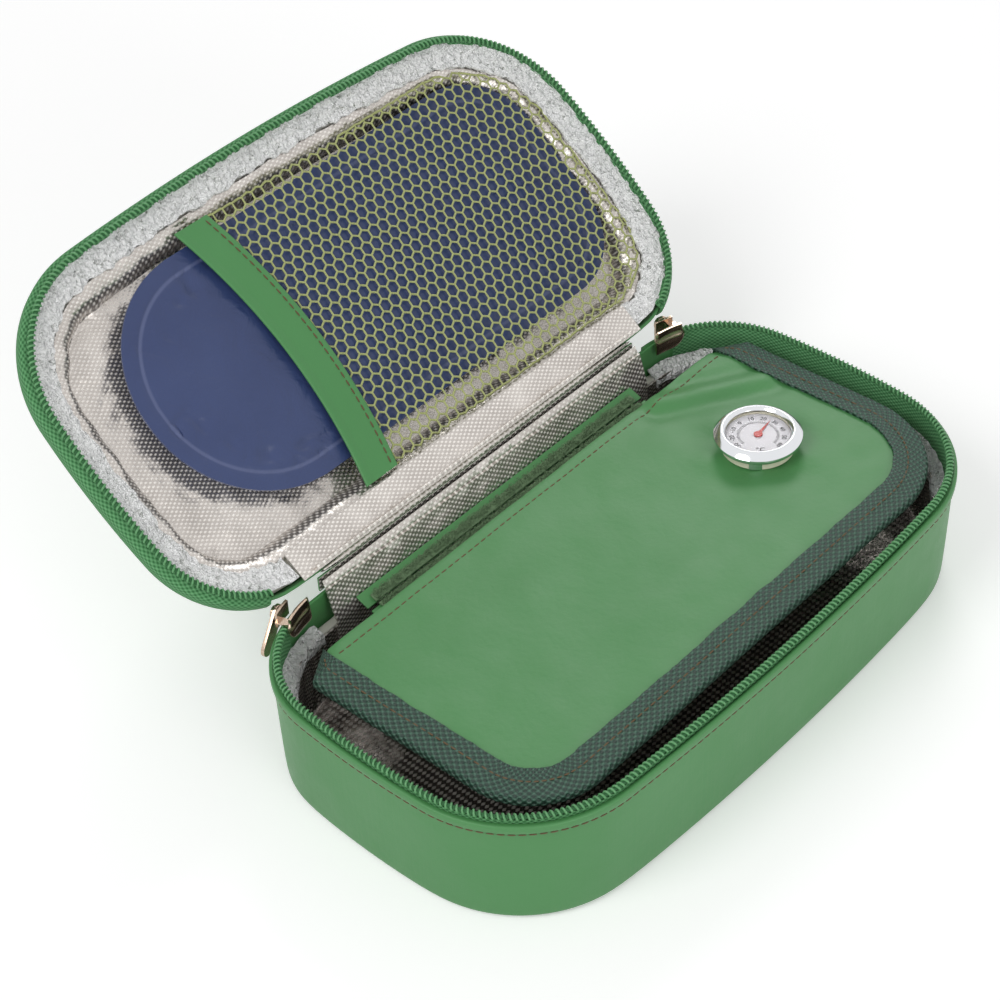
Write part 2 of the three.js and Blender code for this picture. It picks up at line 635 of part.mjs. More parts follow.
function makePocket() {
  const pocket = new THREE.Group();
  const net = new THREE.Shape();
  const mouthSteps = CORNER_STEPS;
  net.moveTo(netLeft, netFront);
  net.lineTo(netRight - NET_FRONT_RADIUS, netFront);
  net.absarc(netRight - NET_FRONT_RADIUS, netFront + NET_FRONT_RADIUS, NET_FRONT_RADIUS,
    -QUARTER_TURN, 0);
  net.absarc(netRight - NET_REAR_RADIUS, netRear - NET_REAR_RADIUS, NET_REAR_RADIUS,
    0, QUARTER_TURN);
  net.lineTo(netLeft, netRear);
  for (let i = 1; i < mouthSteps; i += 1) {
    const y = netRear + (netFront - netRear) * i / mouthSteps;
    net.lineTo(netLeft + mouthBow(y), y);
  }
  net.closePath();
  const gaps = [];
  const rowStep = NET_PITCH * Math.sqrt(3) / 2;
  const gapRadius = (NET_PITCH - NET_BAR) / Math.sqrt(3);
  const rows = Math.floor((netRear - netFront - 2 * NET_MARGIN - 2 * gapRadius) / rowStep);
  const firstRow = (netFront + netRear - rows * rowStep) / 2;
  for (let row = 0; row <= rows; row += 1) {
    const y = firstRow + row * rowStep;
    const first = netLeft + mouthBow(y) + NET_MARGIN + gapRadius;
    const last = netRight - NET_MARGIN - gapRadius
      - Math.max(cornerCut(NET_FRONT_RADIUS, y - netFront), cornerCut(NET_REAR_RADIUS, netRear - y));
    const shift = (row % 2) * NET_PITCH / 2;
    const start = Math.ceil((first - netLeft - shift) / NET_PITCH);
    for (let column = start; netLeft + shift + column * NET_PITCH <= last; column += 1) {
      const x = netLeft + shift + column * NET_PITCH;
      const gap = new THREE.CylinderGeometry(gapRadius, gapRadius, 3 * NET_THREAD, 6);
      gaps.push(gap.rotateX(QUARTER_TURN).translate(x, y, netLow));
    }
  }
  pocket.add(piece('mesh_pocket', pierced(sheetGeometry(net, netLow, netHigh), gaps),
    colours.net));
  const hemSteps = CORNER_STEPS * 2;
  const hem = new THREE.Shape();
  const hemRight = netLeft + HEM_WIDTH / 2;
  const edge = (i) => netFront + (netRear - netFront) * i / hemSteps;
  for (let i = 0; i <= hemSteps; i += 1) {
    const point = [hemRight + mouthBow(edge(i)), edge(i)];
    if (i === 0) hem.moveTo(...point);
    else hem.lineTo(...point);
  }
  for (let i = hemSteps; i >= 0; i -= 1) {
    hem.lineTo(hemRight - HEM_WIDTH + mouthBow(edge(i)), edge(i));
  }
  hem.closePath();
  const hemHigh = netLow - SEAT;
  pocket.add(piece('pocket_hem', sheetGeometry(hem, hemHigh - HEM_THICKNESS, hemHigh),
    colours.skin));
  return pocket;
}

// Gel pack: a welded rim, a deep back and a flatter face towards the net
const packBack = dishZ - SEAT;
const packFace = netHigh + SEAT;
const packLeft = -halfLength - END_BOW + PACK_LEFT_CLEAR;
const packRight = halfLength + END_BOW - PACK_RIGHT_CLEAR;
const packFront = -halfWidth - FRONT_BOW + PACK_FRONT_CLEAR;
const packRear = halfWidth - PACK_REAR_CLEAR;
const packLeftRadius = Math.min(PACK_LEFT_RADIUS, (packRear - packFront) / 2);

function packStations() {
  const corner = (x, y, radius, from) => arcStations(
    [x, y], radius, from, from - QUARTER_TURN, CORNER_STEPS);
  const right = packRight - PACK_RIGHT_RADIUS;
  const left = packLeft + packLeftRadius;
  return [
    ...corner(right, packRear - PACK_RIGHT_RADIUS, PACK_RIGHT_RADIUS, QUARTER_TURN),
    ...corner(right, packFront + PACK_RIGHT_RADIUS, PACK_RIGHT_RADIUS, 0),
    ...corner(left, packFront + packLeftRadius, packLeftRadius, -QUARTER_TURN),
    ...corner(left, packRear - packLeftRadius, packLeftRadius, -HALF_TURN),
  ];
}

function packGeometry() {
  const stations = packStations();
  const weldLow = packFace + (packBack - packFace) * PACK_FACE_SHARE;
  const weldHigh = weldLow + PACK_WELD;
  const crown = (from, to) => Array.from({ length: DOME_STEPS }, (_, i) => {
    const turn = QUARTER_TURN * (i + 1) / DOME_STEPS;
    return [
      PACK_WELD_WIDTH + PACK_SHOULDER * (1 - Math.cos(turn)), from + (to - from) * Math.sin(turn)];
  });
  const profile = [
    ...crown(weldHigh, packBack).reverse(),
    [PACK_WELD_WIDTH, weldHigh], [0, weldHigh], [0, weldLow], [PACK_WELD_WIDTH, weldLow],
    ...crown(weldLow, packFace)];
  const rings = profile.map(([inset, z]) => stations.map((s) => insetPoint(s, inset, z)));
  const { points, faces, size } = ringsGeometry(rings, false, true);
  const middle = [(packLeft + packRight) / 2, (packFront + packRear) / 2];
  [[0, true], [rings.length - 1, false]].forEach(([ring, turned]) => {
    const centre = points.length;
    const first = ring * size;
    points.push([...middle, profile[ring][1]]);
    for (let i = 0; i < size; i += 1) {
      const pair = [first + i, first + (i + 1) % size];
      faces.push(turned ? [centre, pair[1], pair[0]] : [centre, pair[0], pair[1]]);
    }
  });
  return closedGeometry(points, faces);
}

// Inner flap, drawn flat in a frame whose origin is the fold
const hookLow = TAB / 2 + LOOP + 2 * HOOK_SINK;
const flapLow = hookLow + HOOK + HOOK_SINK;
const flapFoamLow = flapLow + FLAP_LINING + HOOK_SINK;
const flapSkinLow = flapFoamLow + FLAP_FOAM + HOOK_SINK;
const flapTop = flapSkinLow + FLAP_SKIN;

// Its outline: two round front corners of their own size, and rear corners cut off slanting
const foldY = halfWidth - FOLD_INSET;
const foldZ = SEAM_HEIGHT - FOLD_DROP;
const flapRight = FLAP_SHIFT + halfLength - FLAP_SIDE_CLEAR;
const flapLeft = FLAP_SHIFT - halfLength + FLAP_SIDE_CLEAR;
const flapFront = -halfWidth - FRONT_BOW + FLAP_FRONT_CLEAR - foldY;
const cutLow = -FLAP_REAR - FLAP_CUT_ALONG;
const cutLength = Math.hypot(FLAP_CUT_ACROSS, FLAP_CUT_ALONG);
const sideShare = FLAP_CUT_ACROSS / (cutLength + FLAP_CUT_ALONG);
const rearShare = cutLength / FLAP_CUT_ALONG;
const dialX = flapRight - DIAL_FROM_SIDE;
const dialY = flapFront + DIAL_FROM_FRONT;

function flapShape(margin) {
  const right = flapRight - margin;
  const left = flapLeft + margin;
  const front = flapFront + margin;
  const rightRadius = FLAP_RIGHT_RADIUS - margin;
  const leftRadius = FLAP_LEFT_RADIUS - margin;
  const rearReach = FLAP_CUT_ACROSS + margin * rearShare;
  const shape = new THREE.Shape();
  shape.absarc(right - rightRadius, front + rightRadius, rightRadius, -QUARTER_TURN, 0);
  shape.lineTo(right, cutLow - margin * sideShare);
  shape.lineTo(flapRight - rearReach, -FLAP_REAR);
  shape.lineTo(flapLeft + rearReach, -FLAP_REAR);
  shape.lineTo(left, cutLow - margin * sideShare);
  shape.absarc(left + leftRadius, front + leftRadius, leftRadius, HALF_TURN, 3 * QUARTER_TURN);
  shape.closePath();
  return shape;
}

function flapSheet(margin, low, thickness) {
  const shape = flapShape(margin);
  shape.holes.push(circlePath(dialX, dialY, NECK_RADIUS + SEAT));
  return sheetGeometry(shape, low, low + thickness);
}

// The webbing wraps the cut corners, both side edges and the front edge
function flapEdgeStations() {
  const right = [flapRight - FLAP_RIGHT_RADIUS, flapFront + FLAP_RIGHT_RADIUS];
  const left = [flapLeft + FLAP_LEFT_RADIUS, flapFront + FLAP_LEFT_RADIUS];
  return [
    { x: flapRight - FLAP_CUT_ACROSS, y: -FLAP_REAR, nx: rearShare, ny: 0 },
    { x: flapRight, y: cutLow, nx: 1, ny: sideShare },
    ...arcStations(right, FLAP_RIGHT_RADIUS, 0, -QUARTER_TURN, CORNER_STEPS * 2),
    ...arcStations(left, FLAP_LEFT_RADIUS, -QUARTER_TURN, -HALF_TURN, CORNER_STEPS * 2),
    { x: flapLeft, y: cutLow, nx: -1, ny: sideShare },
    { x: flapLeft + FLAP_CUT_ACROSS, y: -FLAP_REAR, nx: -rearShare, ny: 0 },
  ];
}

function makeFlap() {
  const flap = new THREE.Group();
  const edge = WEBBING + HOOK_SINK;
  flap.add(piece('flap_lining', flapSheet(edge, flapLow, FLAP_LINING), colours.lining, 0.35, 0.6));
  flap.add(piece('flap_foam', flapSheet(edge, flapFoamLow, FLAP_FOAM), colours.foam));
  flap.add(piece('flap_skin', flapSheet(edge, flapSkinLow, FLAP_SKIN), colours.skin));
  const under = flapLow - HOOK_SINK;
  const over = flapTop + HOOK_SINK;
  flap.add(piece('flap_webbing', stripGeometry(flapEdgeStations(), [
    [0, under - WEBBING], [WEBBING_WIDTH, under - WEBBING], [WEBBING_WIDTH, under],
    [WEBBING, under], [WEBBING, over], [WEBBING_WIDTH, over],
    [WEBBING_WIDTH, over + WEBBING], [0, over + WEBBING]], false), colours.webbing));
  const half = TAB_WIDTH / 2;
  const stripHalf = STRIP_WIDTH / 2;
  flap.add(piece('flap_tab', sheetGeometry(rectangleShape(
    -half, half, -FOLD_GAP / 2, -TAB_FRONT), -TAB / 2, TAB / 2), colours.skin));
  flap.add(piece('flap_loop_tape', sheetGeometry(rectangleShape(
    -stripHalf, stripHalf, -FOLD_GAP / 2, -TAB_FRONT), TAB / 2 + HOOK_SINK,
  TAB / 2 + HOOK_SINK + LOOP), colours.loop, 0.95));
  flap.add(piece('flap_hook_tape', sheetGeometry(rectangleShape(
    -stripHalf, stripHalf, -HOOK_FROM_FOLD, -TAB_FRONT), hookLow, hookLow + HOOK),
  colours.loop, 0.95));
  return flap;
}

// The fixed half of the tab, sewn to the rear wall, with its own length of loop tape
function makeWallTab() {
  const tab = new THREE.Group();
  const half = TAB_WIDTH / 2;
  const stripHalf = STRIP_WIDTH / 2;
  tab.add(piece('wall_tab', sheetGeometry(rectangleShape(
    -half, half, TAB_REAR, FOLD_GAP / 2), -TAB / 2, TAB / 2), colours.skin));
  tab.add(piece('wall_loop_tape', sheetGeometry(rectangleShape(
    -stripHalf, stripHalf, TAB_REAR - LOOP_MARGIN, FOLD_GAP / 2), TAB / 2 + HOOK_SINK,
  TAB / 2 + HOOK_SINK + LOOP), colours.loop, 0.95));
  return tab;
}

// Thermometer, in a frame whose origin is the middle of the dial's hole in the flap's upper face
const housingLow = HOOK_SINK;
const housingTop = HOUSING_STAND + BEZEL_HEIGHT / 2;
const bezelLow = HOUSING_STAND;
const bezelTop = bezelLow + BEZEL_HEIGHT;
const lensLow = housingTop + SEAT;
const dialLow = housingTop - POINTER_GAP * 2 - POINTER_THICKNESS - DIAL_THICKNESS;
const pointerLow = dialLow + DIAL_THICKNESS + POINTER_GAP;

function makeBezel() {
  const skirtInner = HOUSING_RADIUS + SEAT;
  const lipLow = lensLow + LENS_THICKNESS + SEAT;
  const skirtOuter = skirtInner + BEZEL_SKIRT;
  const ring = turnedGeometry([
    [skirtInner, bezelLow], [skirtOuter, bezelLow], [BEZEL_RADIUS, bezelLow + BEZEL_CHAMFER],
    [BEZEL_RADIUS, bezelTop - BEZEL_CHAMFER], [BEZEL_RADIUS - BEZEL_CHAMFER, bezelTop],
    [WINDOW_RADIUS, bezelTop], [WINDOW_RADIUS, lipLow], [skirtInner, lipLow],
    [skirtInner, bezelLow]], ROUND_SEGMENTS);
  const lugs = Array.from({ length: LUG_COUNT }, (_, i) => {
    const lug = new THREE.BoxGeometry(WEBBING, LUG_WIDTH, bezelLow - housingLow + BEZEL_CHAMFER);
    lug.translate(skirtInner + WEBBING, 0, (bezelLow + housingLow + BEZEL_CHAMFER) / 2);
    return lug.rotateZ(rad(LUG_DEGREES) + 2 * HALF_TURN * i / LUG_COUNT);
  });
  return joined([ring, ...lugs]);
}

function makeThermometer() {
  const group = new THREE.Group();
  group.add(piece('thermometer_housing', turnedGeometry([
    [0, -NECK_DEPTH], [NECK_RADIUS, -NECK_DEPTH], [NECK_RADIUS, housingLow],
    [HOUSING_RADIUS, housingLow], [HOUSING_RADIUS, housingTop],
    [HOUSING_RADIUS - HOUSING_WALL, housingTop], [HOUSING_RADIUS - HOUSING_WALL, dialLow - SEAT],
    [CHAMBER_RADIUS, dialLow - SEAT], [CHAMBER_RADIUS, -NECK_DEPTH + HOUSING_WALL],
    [0, -NECK_DEPTH + HOUSING_WALL]], ROUND_SEGMENTS), colours.cream, 0.5));
  group.add(piece('thermometer_bezel', makeBezel(), colours.chrome, 0.1, 1));
  group.add(piece('thermometer_dial', turnedGeometry(ringProfile(
    SPINDLE_RADIUS + SEAT, HOUSING_RADIUS - HOUSING_WALL - SEAT, dialLow,
    dialLow + DIAL_THICKNESS), ROUND_SEGMENTS), colours.dial, 0.5));
  group.add(piece('thermometer_lens', turnedGeometry([
    [0, lensLow], [HOUSING_RADIUS, lensLow], [HOUSING_RADIUS, lensLow + LENS_THICKNESS],
    [0, lensLow + LENS_THICKNESS]], ROUND_SEGMENTS), colours.lens, 0.05));
  group.add(piece('thermometer_clip_ring', turnedGeometry(ringProfile(
    NECK_RADIUS + SEAT, CLIP_RING_RADIUS, clipLow, clipLow + CLIP_RING_HEIGHT), ROUND_SEGMENTS),
  colours.cream, 0.5));
  group.add(piece('thermometer_spring', springGeometry(), colours.spring, 0.35, 1));
  return group;
}

const clipLow = -(flapTop - flapLow) - SEAT - CLIP_RING_HEIGHT;
const springLow = -NECK_DEPTH + HOUSING_WALL + SEAT;

// Bimetal strip wound in a flat spiral, standing on edge in the chamber
function springGeometry() {
  const outer = CHAMBER_RADIUS - SEAT;
  const steps = SPRING_TURNS * SMALL_SEGMENTS;
  const shape = new THREE.Shape();
  const spot = (i, side) => {
    const share = i / steps;
    const radius = THREE.MathUtils.lerp(SPRING_INNER, outer - SPRING_STRIP, share) + side * SPRING_STRIP;
    const angle = 2 * HALF_TURN * SPRING_TURNS * share;
    return [radius * Math.cos(angle), radius * Math.sin(angle)];
  };
  shape.moveTo(...spot(0, 0));
  for (let i = 1; i <= steps; i += 1) shape.lineTo(...spot(i, 0));
  for (let i = steps; i >= 0; i -= 1) shape.lineTo(...spot(i, 1));
  shape.closePath();
  return sheetGeometry(shape, springLow, springLow + SPRING_HEIGHT);
}

function makePointer() {
  const group = new THREE.Group();
  group.add(piece('thermometer_spindle', turnedGeometry([
    [0, springLow], [SPINDLE_RADIUS, springLow], [SPINDLE_RADIUS, pointerLow - POINTER_GAP / 2],
    [0, pointerLow - POINTER_GAP / 2]], SMALL_SEGMENTS), colours.chrome, 0.3, 1));
  const hub = new THREE.Shape();
  const tail = Math.asin(POINTER_WIDTH / 2 / HUB_RADIUS);
  hub.absarc(0, 0, HUB_RADIUS, tail, 2 * HALF_TURN - tail);
  hub.lineTo(POINTER_LENGTH, 0);
  hub.closePath();
  group.add(piece('thermometer_pointer', sheetGeometry(hub, pointerLow,
    pointerLow + POINTER_THICKNESS, SMALL_SEGMENTS), colours.pointer, 0.5));
  return group;
}

// Zip slider round the rear corner: an outer plate with a rivet, an inner plate and a bridge
// between the two coils. The frame's origin is the corner's middle and its +X heads at the slider.
function arcBand(inner, outer, halfAngle, low, high, turn = 0) {
  const shape = new THREE.Shape();
  shape.absarc(0, 0, outer, turn - halfAngle, turn + halfAngle);
  shape.absarc(0, 0, inner, turn + halfAngle, turn - halfAngle, true);
  shape.closePath();
  return sheetGeometry(shape, low, high, SMALL_SEGMENTS / 2);
}

const outerPlateRadius = REAR_CORNER_RADIUS + SLIDER_OUTER_CLEAR;
const innerPlateRadius = REAR_CORNER_RADIUS - coilInset - COIL_RADIUS - SEAT - SLIDER_PLATE;
const sliderHalfAngle = SLIDER_LENGTH / 2 / REAR_CORNER_RADIUS;
const outerTurn = sliderHalfAngle * (1 - SLIDER_OUTER_SHARE) / 2;
const rivetAngle = (SLIDER_LENGTH / 2 - RIVET_FROM_NOSE) / REAR_CORNER_RADIUS;
const pullLow = outerPlateRadius + SLIDER_PLATE + (RIVET_LENGTH - PULL_THICKNESS) / 2;

// noseSide is -1 where the zip runs clockwise from the slider, seen from above, and 1 elsewhere
function sliderGeometry(noseSide) {
  const bridgeAngle = SLIDER_BRIDGE_LENGTH / 2 / REAR_CORNER_RADIUS;
  const bridgeTurn = noseSide * (sliderHalfAngle - bridgeAngle);
  const rivet = new THREE.CylinderGeometry(RIVET_RADIUS, RIVET_RADIUS, RIVET_LENGTH + SLIDER_PLATE,
    SMALL_SEGMENTS);
  const head = new THREE.CylinderGeometry(RIVET_HEAD_RADIUS, RIVET_HEAD_RADIUS, RIVET_HEAD,
    SMALL_SEGMENTS);
  const rivetMiddle = outerPlateRadius + (RIVET_LENGTH + SLIDER_PLATE) / 2;
  const headMiddle = outerPlateRadius + SLIDER_PLATE + RIVET_LENGTH + RIVET_HEAD / 2;
  rivet.rotateZ(QUARTER_TURN).translate(rivetMiddle, 0, SEAM_HEIGHT);
  head.rotateZ(QUARTER_TURN).translate(headMiddle - SEAT / 10, 0, SEAM_HEIGHT);
  const turn = noseSide * rivetAngle;
  const low = SEAM_HEIGHT - SLIDER_HALF_HEIGHT;
  const high = SEAM_HEIGHT + SLIDER_HALF_HEIGHT;
  return joined([
    arcBand(outerPlateRadius, outerPlateRadius + SLIDER_PLATE,
      sliderHalfAngle * SLIDER_OUTER_SHARE, low, high, noseSide * outerTurn),
    arcBand(innerPlateRadius, innerPlateRadius + SLIDER_PLATE, sliderHalfAngle,
      SEAM_HEIGHT - SLIDER_INNER_HALF_HEIGHT, SEAM_HEIGHT + SLIDER_INNER_HALF_HEIGHT),
    arcBand(innerPlateRadius + SLIDER_PLATE / 2, outerPlateRadius + SLIDER_PLATE / 2, bridgeAngle,
      SEAM_HEIGHT - SLIDER_BRIDGE / 2, SEAM_HEIGHT + SLIDER_BRIDGE / 2, bridgeTurn),
    rivet.rotateZ(turn), head.rotateZ(turn),
  ]);
}

// Pull tab with a round eye on the rivet, drawn hanging straight ahead along the zip
function pullGeometry() {
  const shape = new THREE.Shape();
  const round = PULL_WIDTH / 2;
  shape.absarc(0, 0, round, QUARTER_TURN, 3 * QUARTER_TURN);
  shape.absarc(PULL_LENGTH - PULL_WIDTH, 0, round, -QUARTER_TURN, QUARTER_TURN);
  shape.closePath();
  shape.holes.push(circlePath(0, 0, RIVET_RADIUS + PULL_EYE_CLEAR));
  return sheetGeometry(shape, 0, PULL_THICKNESS, SMALL_SEGMENTS / 2);
}

function makeSlider(name, side) {
  const corner = new THREE.Group();
  const heading = side > 0 ? rad(SLIDER_ANGLE) : HALF_TURN - rad(SLIDER_ANGLE);
  corner.position.set(side * rearCorner[0], rearCorner[1], 0);
  corner.rotation.z = heading;
  corner.add(piece(`slider_${name}`, sliderGeometry(-side), colours.slider, 0.25, 1));
  const rivetFrame = new THREE.Group();
  rivetFrame.rotation.z = -side * rivetAngle;
  const pull = piece(`pull_tab_${name}`, pullGeometry(), colours.slider, 0.25, 1);
  // The tab's own X runs ahead along the zip and down, and its Z runs out of the wall
  const ahead = new THREE.Vector3(0, -side * Math.cos(rad(PULL_DROOP_DEGREES)),
    -Math.sin(rad(PULL_DROOP_DEGREES)));
  const out = new THREE.Vector3(1, 0, 0);
  const across = new THREE.Vector3().crossVectors(out, ahead);
  pull.quaternion.setFromRotationMatrix(new THREE.Matrix4().makeBasis(ahead, across, out));
  pull.position.set(pullLow, 0, SEAM_HEIGHT);
  rivetFrame.add(pull);
  corner.add(rivetFrame);
  return corner;
}

const coolingCase = new THREE.Group();
coolingCase.add(makeBase());
coolingCase.add(makeHinge());

const lidHinge = new THREE.Group();
lidHinge.position.set(0, hingeY, hingeZ);
lidHinge.rotation.x = -rad(LID_OPEN_DEGREES);
const lid = new THREE.Group();
lid.position.set(0, -hingeY, -hingeZ);
lid.add(makeLidShell());
lid.add(makePocket());
lid.add(piece('gel_pack', packGeometry(), colours.gel, 0.4));
lidHinge.add(lid);
coolingCase.add(lidHinge);

const wallTab = makeWallTab();
wallTab.position.set(0, foldY, foldZ);
wallTab.rotation.x = rad(TAB_RISE_DEGREES);
coolingCase.add(wallTab);
const flap = makeFlap();
flap.position.set(0, foldY, foldZ);
flap.rotation.x = -rad(FLAP_TILT_DEGREES);
const thermometer = makeThermometer();
thermometer.position.set(dialX, dialY, flapTop);
const pointer = makePointer();
pointer.rotation.z = rad(POINTER_DEGREES);
thermometer.add(pointer);
flap.add(thermometer);
coolingCase.add(flap);

coolingCase.add(makeSlider('right', 1));
coolingCase.add(makeSlider('left', -1));

export default coolingCase;
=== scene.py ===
import math

import bpy
import numpy as np
from mathutils import Matrix, Vector
from mathutils.noise import noise


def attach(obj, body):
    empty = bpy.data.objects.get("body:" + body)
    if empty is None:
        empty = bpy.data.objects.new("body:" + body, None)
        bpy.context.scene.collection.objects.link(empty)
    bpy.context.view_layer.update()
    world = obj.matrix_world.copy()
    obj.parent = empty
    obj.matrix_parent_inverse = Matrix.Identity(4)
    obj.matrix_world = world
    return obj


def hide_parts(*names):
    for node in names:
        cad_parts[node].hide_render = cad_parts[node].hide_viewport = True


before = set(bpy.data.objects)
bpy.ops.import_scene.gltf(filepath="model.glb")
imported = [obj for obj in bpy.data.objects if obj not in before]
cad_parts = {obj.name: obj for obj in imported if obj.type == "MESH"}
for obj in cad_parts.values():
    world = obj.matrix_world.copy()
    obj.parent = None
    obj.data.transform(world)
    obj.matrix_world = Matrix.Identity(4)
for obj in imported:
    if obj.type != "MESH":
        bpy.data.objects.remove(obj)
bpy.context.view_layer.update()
MM = 0.001

# Studio: a white floor that keeps the case's soft shadow, three wide soft lamps in a white room,
# and the camera at the photograph's angle, high over the left front corner.

CAMERA_PLACE = (-383.47, -320.62, 509.34)
AZIMUTH, ELEVATION, ROLL = math.radians(-46.138), math.radians(42.105), math.radians(-2.698)
LAMPS_AIM = (0, 0.02, 0.04)


def linear(code):
    values = [int(code[i:i + 2], 16) / 255 for i in (1, 3, 5)]
    return (*[v / 12.92 if v <= 0.04045 else ((v + 0.055) / 1.055) ** 2.4 for v in values], 1)


def give(thing, **settings):
    for name, value in settings.items():
        setattr(thing, name, value)
    return thing


def feed(node, sockets):
    """Each socket of a node gets a value or a hex colour, or is linked from another node's first
    output or from (node, output)."""
    for name, value in sockets.items():
        source = value if isinstance(value, tuple) else (value, 0)
        if hasattr(source[0], "outputs"):
            node.id_data.links.new(source[0].outputs[source[1]], node.inputs[name])
        else:
            node.inputs[name].default_value = linear(value) if isinstance(value, str) else value


def add(tree, kind, sockets=None, **settings):
    made = give(tree.nodes.new("ShaderNode" + kind), **settings)
    feed(made, sockets or {})
    return made


def new_finish(name, **sockets):
    finish = bpy.data.materials.new(name)
    finish.use_nodes = True
    shader = finish.node_tree.nodes["Principled BSDF"]
    feed(shader, {socket.replace("_", " "): value for socket, value in sockets.items()})
    return finish, finish.node_tree, shader


def seen_directly(tree):
    """1 for rays of the camera and of mirrors, 0 for rays that only carry light."""
    rays = add(tree, "LightPath")
    return add(tree, "Math", {0: (rays, "Is Camera Ray"), 1: (rays, "Is Glossy Ray")}, operation="MAXIMUM")


def deselect():
    bpy.ops.object.select_all(action="DESELECT")


deselect()
bpy.ops.mesh.primitive_plane_add(size=6, location=(0, 0, -0.0002))
floor = bpy.context.object
floor.name = "studio_floor"
# Matt paper without a sheen, lifted by a faint glow so that it meets the white room unseen.
paper, tree, shader = new_finish("white_paper_floor", Roughness=0.9, Base_Color="#F4F4F4",
                                 Specular_IOR_Level=0)
lift = add(tree, "Math", {0: seen_directly(tree), 1: 0.3}, operation="MULTIPLY")
glow = add(tree, "Emission", {"Color": (1, 1, 1, 1), "Strength": lift})
both = add(tree, "AddShader", {0: shader, 1: glow})
feed(tree.nodes["Material Output"], {"Surface": both})
floor.data.materials.append(paper)

world = bpy.data.worlds.new("studio")
bpy.context.scene.world = world
world.use_nodes = True
tree = world.node_tree
sky = tree.nodes["Background"]
feed(sky, {"Color": (1, 1, 1, 1), "Strength": 0.42})
white = add(tree, "Background", {"Color": (1, 1, 1, 1), "Strength": 1})
mixed = add(tree, "MixShader", {0: seen_directly(tree), 1: sky, 2: white})
feed(tree.nodes["World Output"], {"Surface": mixed})

for lamp_name, place, size, watts in [
    ("wide_lamp_over_left", (-0.75, 0.10, 0.85), 0.55, 4.1),
    ("fill_lamp_front", (-0.35, -1.1, 0.45), 0.8, 4.4),
    ("back_lamp_right", (0.9, 0.65, 0.9), 0.5, 3.4),
]:
    bpy.ops.object.light_add(type="AREA", location=place)
    aim = (Vector(LAMPS_AIM) - Vector(place)).to_track_quat("-Z", "Y").to_euler()
    lamp = give(bpy.context.object, name=lamp_name, rotation_euler=aim)
    give(lamp.data, shape="DISK", size=size, energy=watts)

bpy.ops.object.camera_add()
camera = give(bpy.context.object, name="photo_camera", matrix_world=(
    Matrix.Translation(Vector(CAMERA_PLACE) * MM) @ Matrix.Rotation(AZIMUTH, 4, "Z")
    @ Matrix.Rotation(math.pi / 2 - ELEVATION, 4, "X") @ Matrix.Rotation(ROLL, 4, "Z")))
give(camera.data, lens=88.84, sensor_width=36, clip_start=0.01)
bpy.context.scene.camera = camera
bpy.context.scene.view_settings.view_transform = "Standard"

# Base skin: one tray of polyurethane-coated cloth, pulled over the stiffener and the foam. Its
# top edge is folded in under the zip and held by one row of brown top-stitching.

SEAM = 40.65
END_CENTRE, END_RADIUS = (-191.264, 0.0), 296.264
FRONT_CENTRE, FRONT_RADIUS = (0.0, 886.556), 946.056
REAR_CORNER, REAR_RADIUS = (72.066, 22.2), 32.0
FRONT_CORNER, FRONT_CORNER_RADIUS = (64.421669, -17.206869), 40.0
LID_ANGLE = math.radians(-142.1)
HINGE_LINE = Matrix.Translation((0, 54.0 * MM, 44.2 * MM))
LID_OPEN = HINGE_LINE @ Matrix.Rotation(LID_ANGLE, 4, "X") @ HINGE_LINE.inverted()
STITCH_PITCH, STITCH_ROW_HEIGHT = 2.7, 34.75
WELD = {"threshold": 1e-6}
OUTWARD = (bpy.ops.mesh.normals_make_consistent, {"inside": False})
CELLS_PER_STEP = 5  # how often a texture node repeats over one step, at its own scale


def settle(piece, node_names, body, finish):
    """The piece takes its finish, stands for its CAD nodes and rides on their body."""
    piece.data.materials.clear()
    piece.data.materials.append(finish)
    if node_names:
        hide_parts(*node_names)
    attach(piece, body)
    return piece


def choose(piece):
    deselect()
    piece.select_set(True)
    bpy.context.view_layer.objects.active = piece


def placed(name, data):
    piece = bpy.data.objects.new(name, data)
    bpy.context.scene.collection.objects.link(piece)
    choose(piece)
    return piece


def built(name, points, faces, edges=()):
    """A new piece from an array of points in metres."""
    mesh = bpy.data.meshes.new(name)
    mesh.from_pydata(points.tolist(), edges, faces)
    return placed(name, mesh)


def edited(piece, *steps):
    """Runs mesh operators, each given with its settings, on the whole piece."""
    choose(piece)
    bpy.ops.object.mode_set(mode="EDIT")
    bpy.ops.mesh.select_all(action="SELECT")
    for operator, settings in steps:
        operator(**settings)
    bpy.ops.object.mode_set(mode="OBJECT")


def smooth_under(degrees):
    bpy.ops.object.shade_smooth_by_angle(angle=math.radians(degrees))


def apply_all(piece):
    choose(piece)
    for modifier in list(piece.modifiers):
        bpy.ops.object.modifier_apply(modifier=modifier.name)


def roll_edges(piece, width, corner):
    """Rounds edges that turn by more than a corner in degrees."""
    give(piece.modifiers.new("rolled_edge", "BEVEL"), width=width * MM, segments=2,
         limit_method="ANGLE", angle_limit=math.radians(corner))


def refined(node, name, edge, levels=2):
    """A merged copy of a CAD node with rolled edges and smooth bends."""
    piece = placed(name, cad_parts[node].data.copy())
    edited(piece, (bpy.ops.mesh.remove_doubles, WELD), (bpy.ops.mesh.tris_convert_to_quads, {
        "face_threshold": math.radians(60), "shape_threshold": math.radians(80)}))
    bpy.ops.mesh.customdata_custom_splitnormals_clear()
    if edge:
        roll_edges(piece, edge, 38)
    if levels:
        give(piece.modifiers.new("smooth", "SUBSURF"), levels=levels, render_levels=levels)
    apply_all(piece)
    bpy.ops.object.shade_smooth()
    return piece


def remade(node, name, body, finish, edge, levels=2):
    return settle(refined(node, name, edge, levels), [node], body, finish)


